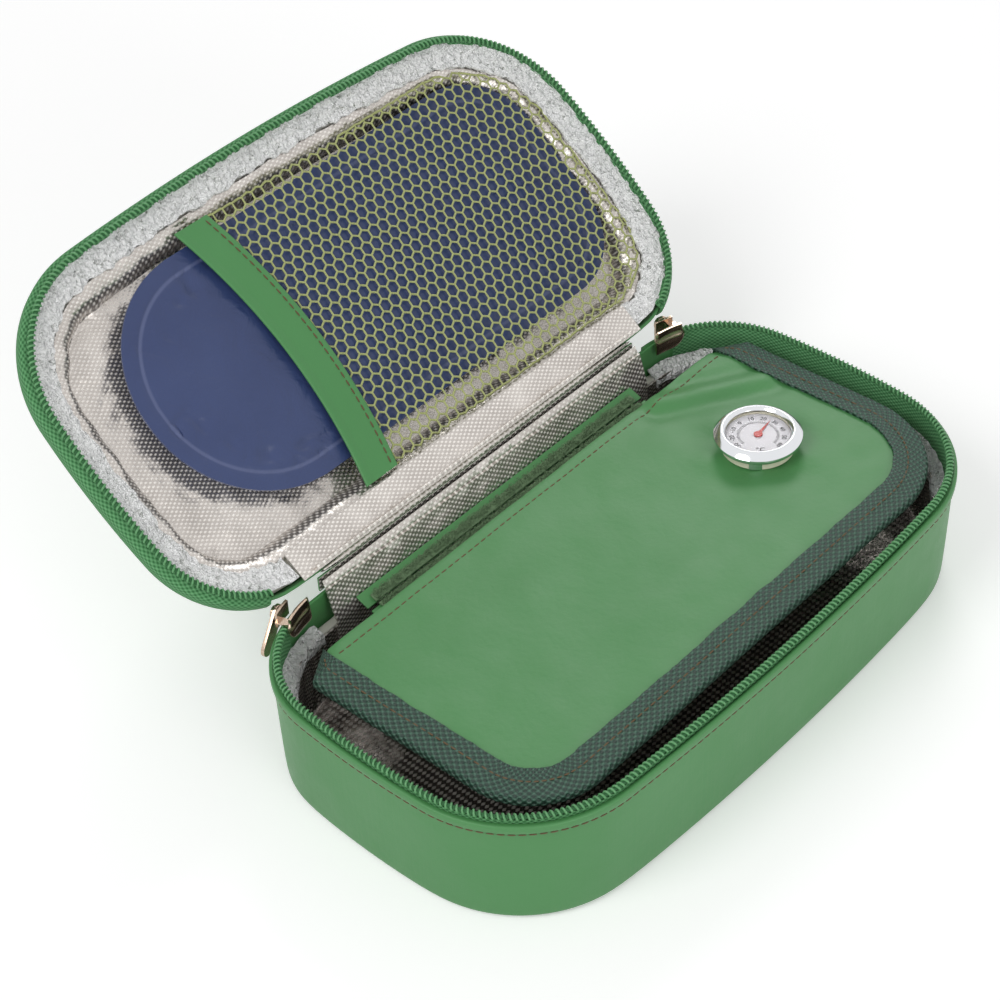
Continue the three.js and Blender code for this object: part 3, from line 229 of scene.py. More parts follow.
def arc(centre, radius, start, end, steps):
    turns = np.linspace(start, end, steps + 1)
    return [(centre[0] + radius * math.cos(t), centre[1] + radius * math.sin(t),
             math.cos(t), math.sin(t)) for t in turns]


def run_length(spots):
    return np.concatenate([[0], np.cumsum(np.hypot(*np.diff(np.array(spots)[:, :2], axis=0).T))])


def rim_line():
    """The case's outline as fine points with outward normals, rear right round to rear left."""
    end_top, end_low, front_turn = (
        math.atan2(to[1] - centre[1], to[0] - centre[0]) for to, centre in (
            (REAR_CORNER, END_CENTRE), (FRONT_CORNER, END_CENTRE), (FRONT_CORNER, FRONT_CENTRE)))
    half = (arc(REAR_CORNER, REAR_RADIUS, math.pi / 2, end_top, 60)
            + arc(END_CENTRE, END_RADIUS, end_top, end_low, 30)[1:]
            + arc(FRONT_CORNER, FRONT_CORNER_RADIUS, end_low, front_turn, 60)[1:]
            + arc(FRONT_CENTRE, FRONT_RADIUS, front_turn, -math.pi / 2, 30)[1:])
    return np.array(half + [(-x, y, -nx, ny) for x, y, nx, ny in half[-2::-1]])


RIM = rim_line()


def spaced(line, pitch, margin=0.0):
    """Evenly spaced places along a line of points: x, y, outward normal, in millimetres."""
    length = run_length(line)
    count = max(2, round((length[-1] - 2 * margin) / pitch))
    marks = np.linspace(margin, length[-1] - margin, count + 1)
    return np.array([np.interp(marks, length, column) for column in line.T]).T


def strew(name, master, places):
    """One mesh of many copies of a small master mesh, each set by its matrix, in metres."""
    points = np.array([v.co for v in master.vertices])
    faces = [list(face.vertices) for face in master.polygons]
    all_points, all_faces = [], []
    for i, place in enumerate(places):
        spot = np.array(place)
        all_points.append(points @ spot[:3, :3].T + spot[:3, 3])
        all_faces.extend([[v + i * len(points) for v in face] for face in faces])
    piece = built(name, np.concatenate(all_points), all_faces)
    bpy.ops.object.shade_smooth()
    return piece


def tube_faces(rings, size):
    """Faces of a capped tube whose points come ring after ring."""
    faces = [(i * size + j, i * size + k, (i + 1) * size + k, (i + 1) * size + j)
             for i in range(rings - 1) for j, k in zip(range(size), [*range(1, size), 0])]
    return faces + [list(range(size))[::-1], list(range((rings - 1) * size, rings * size))]


def swept(name, stations, profile, place=Matrix(), smooth=True):
    """A strip whose profile of (inset, height) points in mm is drawn along the stations. The
    profile may be a function of the station's length. Its UV map is in metres along and across."""
    line = np.array(stations)
    length = run_length(line)
    points, acrosses = [], []
    for (x, y, nx, ny), s in zip(line, length):
        outline = profile(s) if callable(profile) else profile
        points.extend((x - nx * inset, y - ny * inset, z) for inset, z in outline)
        acrosses.append(run_length(list(outline) + [outline[0]]))
    size, last = len(outline), len(line) - 1
    spots = [(length[i + a], acrosses[i + a][j + b]) for i in range(last) for j in range(size)
             for a, b in ((0, 0), (0, 1), (1, 1), (1, 0))]
    spots += [(length[0], acrosses[0][j]) for j in range(size)][::-1]
    spots += [(length[last], acrosses[last][j]) for j in range(size)]
    piece = built(name, np.array(points) * MM, tube_faces(last + 1, size))
    cloth_map = piece.data.uv_layers.new(name="cloth")
    cloth_map.data.foreach_set("uv", (np.array(spots) * MM).ravel())
    edited(piece, OUTWARD)
    if smooth:
        smooth_under(50)
    piece.data.transform(place)
    return piece


def softened(outline, radius):
    """A closed outline of points whose corners are rounded."""
    soft = []
    for before, here, after in zip([outline[-1]] + outline[:-1], outline, outline[1:] + outline[:1]):
        here = Vector(here)
        ends = []
        for other in (before, after):
            way = Vector(other) - here
            ends.append(here + way.normalized() * min(radius, way.length * 0.48))
        soft += [tuple(ends[0]), tuple(ends[0] * 0.25 + here * 0.5 + ends[1] * 0.25), tuple(ends[1])]
    return soft


def frame_at(spot, ahead, out):
    """A matrix whose X runs ahead and whose Z runs out of the surface; places are in mm."""
    x = Vector(ahead).normalized()
    y = Vector(out).normalized().cross(x).normalized()
    turned = Matrix((x, y, x.cross(y))).transposed().to_4x4()
    return Matrix.Translation(Vector(spot) * MM) @ turned


def stitched(name, spots, outs, body, place=Matrix()):
    """A row of stitches from each spot towards the next, sunk a little into the surface."""
    places = []
    for a, b, out in zip(spots[:-1], spots[1:], outs[:-1]):
        middle = [(p + q) / 2 for p, q in zip(a, b)]
        way = Vector(b) - Vector(a)
        step = Matrix.Scale(way.length / STITCH_PITCH, 4, (1, 0, 0))
        places.append(place @ (frame_at(middle, way, out) @ step))
    return settle(strew(name, stitch_mesh, places), [], body, stitch_thread)


def on_surface(tree, size, turn=(0, 0, 0), cells=CELLS_PER_STEP):
    """Object coordinates on which a texture's cells have a size in mm, along turned axes."""
    sizes = tuple(part * cells * MM for part in (size if isinstance(size, tuple) else (size,) * 3))
    return add(tree, "Mapping", {"Vector": (add(tree, "TexCoord"), "Object"), "Scale": sizes,
                                 "Rotation": turn}, vector_type="TEXTURE")


def mottled(name, size, low, high, detail=2.0, lay=False, **sockets):
    """A finish of two near tones in cells of a size in mm, or in slanting rows for a lay."""
    finish, tree, shader = new_finish(name, **sockets)
    place = {"Vector": on_surface(tree, size), "Detail": detail}
    haze = (add(tree, "TexWave", place, bands_direction="DIAGONAL") if lay else add(tree, "TexNoise", place))
    tone = add(tree, "Mix", {0: (haze, "Fac"), 6: low, 7: high}, data_type="RGBA")
    feed(shader, {"Base Color": (tone, 2)})
    return finish, tree, shader, haze, tone


# Polyurethane coat knife-spread on a knit: satin, with fine pores, faint upright ribs of the knit
# behind it, and slow waves where it is stretched over the foam.
green_skin, tree, shader, drift, tone = mottled("green_coated_cloth", 40, "#49854D", "#518E55", 3.0,
                                                Specular_IOR_Level=0.4)
pores = add(tree, "TexVoronoi", {"Vector": on_surface(tree, 0.11)}, feature="F1")
ribs = add(tree, "TexNoise", {"Vector": on_surface(tree, (1.4, 1.4, 70.0))})
waves = add(tree, "TexNoise", {"Vector": on_surface(tree, 11), "Detail": 3.0})
grain = add(tree, "Bump", {"Height": (pores, "Distance"), "Strength": 0.08, "Distance": 0.0002})
knit = add(tree, "Bump", {"Height": (ribs, "Fac"), "Strength": 0.10, "Distance": 0.0006, "Normal": grain})
soft = add(tree, "Bump", {"Height": (waves, "Fac"), "Strength": 0.12, "Distance": 0.002, "Normal": knit})
satin = add(tree, "MapRange", {"Value": (waves, "Fac"), "To Min": 0.36, "To Max": 0.52})
feed(shader, {"Normal": soft, "Roughness": satin})
# Twisted polyester yarn: dull, with a darker line between its plies.
stitch_thread = mottled("brown_polyester_thread", 0.24, "#4A3A22", "#6B5233", lay=True, Roughness=0.6)[0]


def master_mesh(scale=(1, 1, 1)):
    """The active object's mesh, drawn out by a scale, without the object."""
    piece = bpy.context.object
    mesh = piece.data
    mesh.transform(Matrix.Diagonal((*scale, 1)))
    bpy.data.objects.remove(piece)
    return mesh


deselect()
bpy.ops.mesh.primitive_uv_sphere_add(segments=8, ring_count=5, radius=MM)
stitch_mesh = master_mesh((1.12, 0.26, 0.2))

remade("base_shell", "base_skin", "base", green_skin, 0.35)
base_hem = swept("base_turned_hem", spaced(RIM, 2.0), softened(
    [(-0.32, 35.2), (-0.42, 36.4), (-0.30, 37.7), (0.75, 37.85), (0.75, 35.2)], 0.35))
settle(base_hem, [], "base", green_skin)
row = spaced(RIM, STITCH_PITCH, 2.0)
stitched("base_top_stitch", [(x + nx * 0.05, y + ny * 0.05, STITCH_ROW_HEIGHT) for x, y, nx, ny in row],
         [(nx, ny, 0) for x, y, nx, ny in row], "base")

# Base padding: closed-cell polyethylene foam round the walls and floor, with a thin plastic
# stiffener under it. Both are sewn in and hidden by skin and lining.

# Foamed polyethylene: matt white, with the edges of its small cells a little darker.
foam_white, tree, shader = new_finish("white_closed_cell_foam", Roughness=0.85)
cells = add(tree, "TexVoronoi", {"Vector": on_surface(tree, 0.18)}, feature="DISTANCE_TO_EDGE")
tone = add(tree, "Mix", {0: (cells, "Distance"), 6: "#D9D6CC", 7: "#F1EFE8"}, data_type="RGBA")
pits = add(tree, "Bump", {"Height": (cells, "Distance"), "Strength": 0.4, "Distance": 0.0003})
feed(shader, {"Base Color": (tone, 2), "Normal": pits})
# Pressed polyethylene: half matt and cloudy grey.
board_plastic = mottled("pressed_polyethylene_board", 1.2, "#A4A8AD", "#C3C6CA", 5.0, Roughness=0.55)[0]
base_padding = remade("base_foam", "base_padding", "base", foam_white, 0.5, 1)
remade("base_board", "base_stiffener", "base", board_plastic, 0.25, 1)

# Inner lining: cloth laminated with aluminium film, pressed in a diamond weave of small raised dots that
# repeats each 2.2 by 1.4 mm. The dots are painted whiter than the film, a painted highlight on each. The
# film between the dots mirrors what lies near it.


def weave(tree, place, across="Y", walls=False):
    """Waves along X, on walls along Y too, crossed with waves along another axis."""
    rows = add(tree, "VectorMath", {0: place}, operation="SINE")
    split = add(tree, "SeparateXYZ", {0: rows})
    along = (split, "X")
    if walls:
        along = (add(tree, "Math", {0: along, 1: (split, "Y")}, operation="ADD"), 0)
    return add(tree, "Math", {0: along, 1: (split, across)}, operation="MULTIPLY")


def silver_laminate(name, turn, across="Y", walls=False, film=("#A69F99", "#DCD6D0"), dot="#FFFAF4"):
    """Film that mirrors softly between dots that are duller and raised, and painted whiter as a painted
    highlight on each.
    """
    finish, tree, shader, drift, ground = mottled(name, 11, *film, 3.0)
    feed(drift, {"Distortion": 0.8})
    grid = weave(tree, on_surface(tree, (2.2, 1.4, 1.4), turn, 1 / math.tau), across, walls)
    dots = add(tree, "MapRange", {"Value": grid, "From Max": 0.9})
    # Dots painted whiter than the film: a painted highlight on each pressed dimple.
    tone = add(tree, "Mix", {0: dots, 6: (ground, 2), 7: dot}, data_type="RGBA")
    metal = add(tree, "MapRange", {"Value": dots, "To Min": 0.85, "To Max": 0.2})
    haze = add(tree, "MapRange", {"Value": dots, "To Min": 0.27, "To Max": 0.45})
    waves = add(tree, "TexNoise", {"Vector": on_surface(tree, 12)})
    slow = add(tree, "Bump", {"Height": (waves, "Fac"), "Strength": 0.35, "Distance": 0.006})
    fine = add(tree, "Bump", {"Height": dots, "Strength": 0.2, "Distance": 0.0002, "Normal": slow})
    feed(shader, {"Base Color": (tone, 2), "Metallic": metal, "Roughness": haze, "Normal": fine})
    return finish


# The base's tray takes a darker copy of the same laminate, film and dots alike: painted shade for the deep
# cavity under the flap.
shaded_silver_tray = silver_laminate("silver_dot_laminate_tray_painted_shade", (0, 0, 0), "Z", True,
                              ("#6E6863", "#8E8882"), "#BDB7B1")
remade("base_lining", "base_silver_lining", "base", shaded_silver_tray, 0.2)

# Seam binding: a strip of crumpled aluminium film, folded over the top of the base's foam and
# lining. Its facets of about a millimetre are bright on one side and dark on the other.


def crumple(piece, depth, size, seed, place=Matrix()):
    """Moves every point a little by folded noise, and leaves the facets flat."""
    mesh = piece.data
    normals = [v.normal.copy() for v in mesh.vertices]
    offset = Vector((seed, seed * 0.7, seed * 1.3))
    for v, normal in zip(mesh.vertices, normals):
        spot = v.co / (size * MM) + offset
        ridge = 0.5 - abs(noise(spot * 0.4)) * 1.6
        v.co += normal * (ridge + 0.6 * noise(spot) + 0.4 * noise(spot * 2.3)) * depth * MM
    mesh.update()
    choose(piece)
    bpy.ops.object.shade_flat()
    mesh.transform(place)
    return piece


# Crumpled film: some cells painted near-white and barely metallic as painted glints, the rest grey and more
# mirroring as painted shade, with fine wrinkles.
foil_film, tree, shader = new_finish("crumpled_aluminium_film")
fine = add(tree, "TexNoise", {"Vector": on_surface(tree, 1.2), "Detail": 6.0,
                              "Roughness": 0.75, "Distortion": 0.8})
facets = add(tree, "TexVoronoi", {"Vector": on_surface(tree, 1.6), "Detail": 1.5}, feature="F1")
level = add(tree, "SeparateXYZ", {0: (facets, "Color")})
shine = add(tree, "Math", {0: (level, "X"), 1: (fine, "Fac")}, operation="ADD")
spread = add(tree, "MapRange", {"Value": shine, "From Min": 0.45, "From Max": 0.95})
# Grey to white: painted shade on some facets, painted glints on others.
tone = add(tree, "Mix", {0: spread, 6: "#8C9089", 7: "#FFFFFF"}, data_type="RGBA")
metal = add(tree, "MapRange", {"Value": spread, "To Min": 0.75, "To Max": 0.1})
sharp = add(tree, "Bump", {"Height": (facets, "Distance"), "Strength": 0.9, "Distance": 0.0014})
wrinkles = add(tree, "Bump", {"Height": (fine, "Fac"), "Strength": 0.7, "Distance": 0.0008, "Normal": sharp})
feed(shader, {"Base Color": (tone, 2), "Metallic": metal, "Roughness": 0.22, "Normal": wrinkles})
strip = ([(2.35 + 0.5 * t, 30.0 - 0.28 * t) for t in range(7)]
         + [(5.9, 27.7), (6.2, 26.9), (6.35, 26.2), (6.4, 25.5), (6.1, 25.5), (5.1, 27.4), (2.4, 29.4)])
base_binding = swept("base_crumpled_binding", spaced(RIM, 0.9), strip, smooth=False)
settle(crumple(base_binding, 0.6, 3.0, 3.0), ["base_foil_binding"], "base", foil_film)

# Zip: two knitted polyester tapes, each with a coil of nylon wire sewn along its edge, one loop
# each 1.6 mm, round a filler cord. The base's tape stands up inside the wall.

WIRE_PITCH, WIRE_RADIUS = 1.6, 0.34
COIL_INSET, LOOP_REACH, LOOP_RISE, POINTS_PER_LOOP = 2.0, 0.85, 0.62, 9
BASE_COIL, LID_COIL = SEAM - 1.35, SEAM + 1.45
ZIP_START = REAR_RADIUS * math.radians(20)


def on_cloth(tree, along, across):
    """A strip's own map, on which sine waves have sizes in mm along and across it."""
    waves = (along * MM / math.tau, across * MM / math.tau, 1)
    return add(tree, "Mapping", {"Vector": (add(tree, "UVMap", uv_map="cloth"), 0), "Scale": waves},
               vector_type="TEXTURE")


# Knitted polyester: matt, with light loops over a dark ground, broken by single fibres.
knit_green, tree, shader = new_finish("knitted_polyester_tape", Roughness=0.8)
fray = add(tree, "TexNoise", {"Vector": on_surface(tree, 0.1), "Detail": 3.0})
level = add(tree, "Math", {0: weave(tree, on_cloth(tree, 1.9, 1.3)), 1: (fray, "Fac"), 2: 0.4},
            operation="MULTIPLY_ADD")
tone = add(tree, "Mix", {0: level, 6: "#2C6B38", 7: "#74B57C"}, data_type="RGBA")
relief = add(tree, "Bump", {"Height": level, "Strength": 0.7, "Distance": 0.0004})
feed(shader, {"Base Color": (tone, 2), "Normal": relief})
# Drawn nylon: smooth and half glossy. The filler cord of twisted yarn is matt and darker.
nylon_green = mottled("drawn_nylon_wire", 0.6, "#4E8B55", "#68A56F", 3.0, Roughness=0.34)[0]
cord_green = mottled("twisted_filler_cord", 0.3, "#23542D", "#3A7345", lay=True, Roughness=0.8)[0]


def wire(name, spots, radius, rounds):
    """A wire with a radius in mm through spots in metres, turned into a mesh."""
    line = give(bpy.data.curves.new(name, "CURVE"), dimensions="3D", bevel_depth=radius * MM,
                bevel_resolution=rounds)
    points = line.splines.new("POLY").points
    points.add(len(spots) - 1)
    for point, spot in zip(points, spots):
        point.co = (*spot, 1)
    piece = placed(name, line)
    bpy.ops.object.convert(target="MESH")
    return piece


def coil(name, z, place=Matrix()):
    """A nylon coil round the rim: one continuous wire in flattened loops."""
    places = spaced(RIM, WIRE_PITCH, ZIP_START)
    loops = len(places) - 1
    marks = np.linspace(0, loops, loops * POINTS_PER_LOOP + 1)
    columns = [np.interp(marks, range(loops + 1), column) for column in places.T]
    spots = []
    for mark, x, y, nx, ny in zip(marks, *columns):
        turn = math.tau * mark
        out, rise = LOOP_REACH * math.cos(turn) - COIL_INSET, LOOP_RISE * math.sin(turn)
        spot = Vector((x + nx * out, y + ny * out, z + rise)) * MM
        spots.append(place @ spot)
    piece = wire(name, spots, WIRE_RADIUS, 1)
    bpy.ops.object.shade_smooth()
    return piece


def filler(name, z, place=Matrix()):
    section = [(COIL_INSET + 0.62 * math.cos(t), z + 0.34 * math.sin(t)) for t in np.arange(8) * math.pi / 4]
    return swept(name, spaced(RIM, 2.0, ZIP_START), section, place)


base_tape = swept("base_knitted_tape", spaced(RIM, 1.5, ZIP_START), softened(
    [(1.55, 28.6), (2.2, 28.6), (2.1, 38.4), (1.5, 38.4)], 0.2))
settle(base_tape, ["base_zip_tape"], "base", knit_green)
settle(coil("base_nylon_coil", BASE_COIL), ["base_zip_coil"], "base", nylon_green)
settle(filler("base_filler_cord", BASE_COIL), [], "base", cord_green)

# Lid skin, stiffener and padding: made like the base, with a shallow dome and no stitches
# outside. The lid's zip tape is folded out over the rim and sewn flat on the skin.

remade("lid_shell", "lid_skin", "lid", green_skin, 0.35)
lid_padding = remade("lid_foam", "lid_padding", "lid", foam_white, 0.5, 1)
remade("lid_board", "lid_stiffener", "lid", board_plastic, 0.25, 1)
lid_tape = swept("lid_knitted_tape", spaced(RIM, 1.5, ZIP_START), softened(
    [(3.0, 43.65), (1.2, 43.75), (0.1, 43.9), (-0.55, 44.6), (-0.7, 45.8), (-0.55, 48.4),
     (-0.05, 48.6), (-0.05, 45.9), (0.5, 44.4), (3.0, 44.15)], 0.25), LID_OPEN)
settle(lid_tape, ["lid_zip_tape"], "lid", knit_green)
settle(coil("lid_nylon_coil", LID_COIL, LID_OPEN), ["lid_zip_coil"], "lid", nylon_green)
settle(filler("lid_filler_cord", LID_COIL, LID_OPEN), [], "lid", cord_green)

# Lid lining and binding: the same laminate, glued over the dished padding, with sharp folds
# where it turns into the corners, and a broad crumpled strip along the zip.

silver_lid = silver_laminate("silver_dot_laminate_lid", (LID_ANGLE, 0, 0))
lid_lining = refined("lid_lining", "lid_silver_lining", 0.2, 3)
lid_normals = [v.normal.copy() for v in lid_lining.data.vertices]
for v, normal in zip(lid_lining.data.vertices, lid_normals):
    fold = 0.35 - abs(noise(v.co / 0.013)) * 1.5 + 0.4 * noise(v.co / 0.005)
    v.co += normal * 1.1 * MM * fold
settle(lid_lining, ["lid_lining"], "lid", silver_lid)


def ragged(s):
    """The lid binding's section, whose inner edge wanders by a millimetre."""
    reach = 9.6 + 1.3 * noise((s / 7, 0.3, 0.0)) + 0.8 * noise((s / 2.5, 5.1, 0.0))
    face = [(2.75 + (reach - 2.75) * t / 12, 43.75 + 1.9 * (t / 12) ** 0.8) for t in range(13)]
    return face + [(reach + 0.1, 46.3), (2.8, 44.5)]


lid_binding = swept("lid_crumpled_binding", spaced(RIM, 0.9), ragged, smooth=False)
settle(crumple(lid_binding, 0.55, 2.3, 8.0, LID_OPEN), ["lid_foil_binding"], "lid", foil_film)

# Hinge: a strip of the skin's cloth joins base and lid behind, with a folded roll on the bending
# line. Inside, a panel of silver laminate leans from the lining back to the rim.


def line_with(piece, finish, is_inside):
    """The faces inside the case take a second finish."""
    piece.data.materials.append(finish)
    for face in piece.data.polygons:
        if is_inside(face):
            face.material_index = 1


silver_panel = silver_laminate("silver_dot_laminate_panel", (math.radians(15), 0, 0), "Z")
hinge_strip = remade("hinge_panel", "hinge_strip", "base", green_skin, 0.3)
line_with(hinge_strip, silver_panel, lambda face: face.normal.y < -0.5)
hinge_roll = remade("hinge_roll", "hinge_piping", "base", green_skin, 0, 1)
line_with(hinge_roll, silver_panel, lambda face: face.center.y < 0.0541)
silver_strip = silver_laminate("silver_dot_laminate_strip", (LID_ANGLE, 0, 0), "Z")
remade("lid_hinge_lining", "lid_hinge_panel", "lid", silver_strip, 0.2)
back_line = [(x, 54.0, 0, 1) for x in np.linspace(-71.5, 71.5, 60)]
lid_facing = swept("lid_hinge_facing", back_line, softened(
    [(0.7, 43.5), (9.9, 43.75), (9.9, 44.2), (0.7, 44.0)], 0.15), LID_OPEN)
settle(lid_facing, [], "lid", silver_lid)
base_facing = swept("base_hinge_facing", back_line[2:-2], softened(
    [(3.0, 39.2), (2.6, 40.6), (1.6, 42.5), (1.3, 42.4), (2.2, 40.4), (2.5, 39.2)], 0.15))
settle(base_facing, [], "base", silver_panel)
hinge_lining = refined("hinge_lining", "hinge_silver_panel", 0, 0)
edited(hinge_lining, (bpy.ops.mesh.subdivide, {"number_cuts": 24, "smoothness": 0}))
for v in hinge_lining.data.vertices:
    v.co.y += 0.5 * MM * noise((v.co.x / 0.011, v.co.z / 0.016, 2.0))
smooth_under(50)
settle(hinge_lining, ["hinge_lining"], "base", silver_panel)

# Wall tab: a strip of coated cloth sewn to the silver panel, with looped fastener tape on top.
# The inner flap's own half of the tape goes on from it, across the fold.

FOLD_Y, FOLD_Z = 43.0, 31.35
FLAP_TILT, TAB_SLOPE = math.radians(-1.6), math.radians(21)
FOLD = Matrix.Translation((0, FOLD_Y * MM, FOLD_Z * MM)) @ Matrix.Rotation(FLAP_TILT, 4, "X")
TAPE_LENGTH, LOOP_WIRE_RADIUS = 111, 0.07
# Looped nylon pile: dull, with dark gaps between light tufts.
fuzz_green, tree, shader, tufts, tone = mottled("looped_nylon_pile", 0.7, "#0F2A14", "#8FB083", 4.0,
                                                Roughness=0.8)
feed(tufts, {"Roughness": 0.8})
for node, name, body, finish in [
    ("wall_tab", "wall_tab_cloth", "base", green_skin),
    ("wall_loop_tape", "wall_loop_ground", "base", fuzz_green),
    ("flap_tab", "flap_tab_cloth", "flap", green_skin),
    ("flap_loop_tape", "flap_loop_ground", "flap", fuzz_green),
    ("flap_hook_tape", "flap_hook_ground", "flap", fuzz_green),
]:
    remade(node, name, body, finish, 0.25)
loop_line = [(-0.4, -0.1), (-0.42, 0.4), (0, 0.75), (0.42, 0.4), (0.4, -0.1)]
wire("pile_loop", [(x * MM, 0, z * MM) for x, z in loop_line], LOOP_WIRE_RADIUS, 0)
loop_mesh = master_mesh()
chance = np.random.default_rng(7)


def pile(name, low, high, count, ground, body):
    """Small wire loops at random places and turns on a tape, between distances from the fold."""
    places = []
    for x, t, turn, lean, size in chance.random((count, 5)):
        spot = Vector(((x - 0.5) * TAPE_LENGTH, *ground(low + t * (high - low)))) * MM
        places.append(Matrix.Translation(spot) @ Matrix.Rotation(turn * 6.3, 4, "Z")
                      @ Matrix.Rotation((lean - 0.5) * 1.6, 4, "X") @ Matrix.Scale(0.7 + 0.6 * size, 4))
    settle(strew(name, loop_mesh, places), [], body, fuzz_green)


pile("wall_loop_pile", 0.7, 3.0, 900, lambda t: (
    FOLD_Y + t * math.cos(TAB_SLOPE), FOLD_Z + 1.5 + t * math.tan(TAB_SLOPE + FLAP_TILT)), "base")
pile("flap_loop_pile", -5.4, -0.8, 1500,
     lambda t: tuple((FOLD @ (Vector((0, t, 1.65)) * MM) / MM)[1:]), "flap")

# Inner flap: a sheet of coated cloth over thin foam, lined with silver laminate. It is soft, so
# its face is not quite flat, and it puckers where the thermometer is clamped through it.

FLAP_LEFT, FLAP_RIGHT, FLAP_REAR_EDGE, FLAP_FRONT_EDGE = -92.0, 96.0, -5.4, -92.5
FLAP_SIDES = ((FLAP_RIGHT, 1, 32.0), (FLAP_LEFT, -1, 23.0))
CUT_LONG, CUT_DEEP, CUT_NORMAL = 10, 6, (0.5145, 0.8575)
FLAP_MIDDLE, FLAP_HALF, FLAP_TOP, SHEET_INSET = 4, 1.5, 5.35, 0.95
DIAL_SPOT = (57.7, -44.5)


def rounded_end(edge, side, radius, margin, depth):
    """How far out a side with round corners reaches, at a depth from the border before it."""
    inner = radius - margin
    spare = inner - depth
    reach = side * edge - margin
    if spare > 0:
        reach -= inner - math.sqrt(max(0, inner ** 2 - spare ** 2))
    return reach


def flap_limits(y, margin):
    """Left and right ends of the flap, drawn in by a margin, at a distance from the fold."""
    ends = []
    for edge, side, radius in FLAP_SIDES[::-1]:
        reach = rounded_end(edge, side, radius, margin, y - FLAP_FRONT_EDGE - margin)
        cut = margin + CUT_NORMAL[1] * (y - FLAP_REAR_EDGE + CUT_DEEP)
        ends.append(side * min(reach, side * edge - cut / CUT_NORMAL[0]))
    return ends


def edge_distance(x, y):
    """About how far a point of the flap lies from its bound edges."""
    left, right = flap_limits(y, 0)
    return max(0, min(x - left, right - x, y - FLAP_FRONT_EDGE))


def flap_sag(x, y):
    """The whole soft sheet's height over flat, in mm."""
    return 0.5 * noise((x / 46, y / 38, 4.7))


def flap_swell(x, y):
    """The face's own swell, pucker at the dial and fold beside the webbing, in mm."""
    away = math.hypot(x - DIAL_SPOT[0], y - DIAL_SPOT[1])
    turn = math.atan2(y - DIAL_SPOT[1], x - DIAL_SPOT[0])
    pucker = 0.5 * math.sin(5 * turn + 0.8) * math.exp(-((away - 15.5) / 7) ** 2)
    low, high = Vector((56, -9)), Vector((84, -26))
    t = min(1, max(0, (Vector((x, y)) - low).dot(high - low) / (high - low).length_squared))
    off = (Vector((x, y)) - low.lerp(high, t)).length
    fold = 0.9 * math.exp(-(off / 3.4) ** 2) - 0.7 * math.exp(-((off - 6) / 3) ** 2)
    swell = 0.45 * noise((x / 30, y / 22, 1.7)) + 0.15 * noise((x / 9, y / 9, 3.1))
    return (swell + pucker + fold) * (1 - math.exp(-(edge_distance(x, y) / 7) ** 2))


def pinch(distance):
    """Share of the flap's full thickness that is left at a distance from its bound edge."""
    return 1 - 0.5 * math.exp(-(distance / 5.0) ** 2)


def flap_sheet(name, low, high, swell=0.0):
    """A grid drawn out to the flap's outline, given its thickness and pinched at the edges."""
    deselect()
    bpy.ops.mesh.primitive_grid_add(x_subdivisions=126, y_subdivisions=60, size=2)
    piece = bpy.context.object
    piece.name = name
    start = FLAP_FRONT_EDGE + SHEET_INSET
    for v in piece.data.vertices:
        y = start + (v.co.y + 1) / 2 * (FLAP_REAR_EDGE - start)
        left, right = flap_limits(y, SHEET_INSET)
        v.co = Vector((left + (v.co.x + 1) / 2 * (right - left), y, low)) * MM
    give(piece.modifiers.new("thickness", "SOLIDIFY"), thickness=(high - low) * MM, offset=1)
    roll_edges(piece, 0.3 * (high - low), 50)
    apply_all(piece)
    for v in piece.data.vertices:
        x, y, z = v.co / MM
        raised = swell * flap_swell(x, y) if z > (low + high) / 2 else 0
        thin = (z - FLAP_MIDDLE) * pinch(edge_distance(x, y))
        v.co.z = (FLAP_MIDDLE + thin + flap_sag(x, y) + raised) * MM
    piece.data.transform(FOLD)
    bpy.ops.object.shade_smooth()
    return piece


silver_flap = silver_laminate("silver_dot_laminate_flap", (0, 0, 0))
settle(flap_sheet("flap_silver_lining", 2.65, 3.05), ["flap_lining"], "flap", silver_flap)
flap_padding = settle(flap_sheet("flap_padding", 3.2, 4.2), ["flap_foam"], "flap", foam_white)
flap_skin = settle(flap_sheet("flap_face", 4.45, FLAP_TOP, 1.0), ["flap_skin"], "flap", green_skin)

# Flap binding: a coarse webbing of dark green polypropylene yarn, folded over the edge and sewn through. Its
# yarns are about 1.2 mm wide; each float is painted lighter as a small painted highlight, and the gaps
# between them darker as painted shade.

WEBBING_RISE, WEBBING_UNDER, STITCH_INSET = 0.75, 1.46, 5.6


def flap_line():
    """The flap's bound edge with the way that it is drawn in, cuts mitred."""
    low = FLAP_REAR_EDGE - CUT_DEEP
    spots = [(FLAP_RIGHT - CUT_LONG, FLAP_REAR_EDGE, 0.03, 0), (FLAP_RIGHT, low, 1, 0)]
    for (edge, side, radius), turn in zip(FLAP_SIDES, (0, -math.pi / 2)):
        spots += arc((edge - side * radius, FLAP_FRONT_EDGE + radius), radius, turn, turn - math.pi / 2, 24)
    return np.array(spots + [(FLAP_LEFT, low, -1, 0), (FLAP_LEFT + CUT_LONG, FLAP_REAR_EDGE, -0.03, 0)])


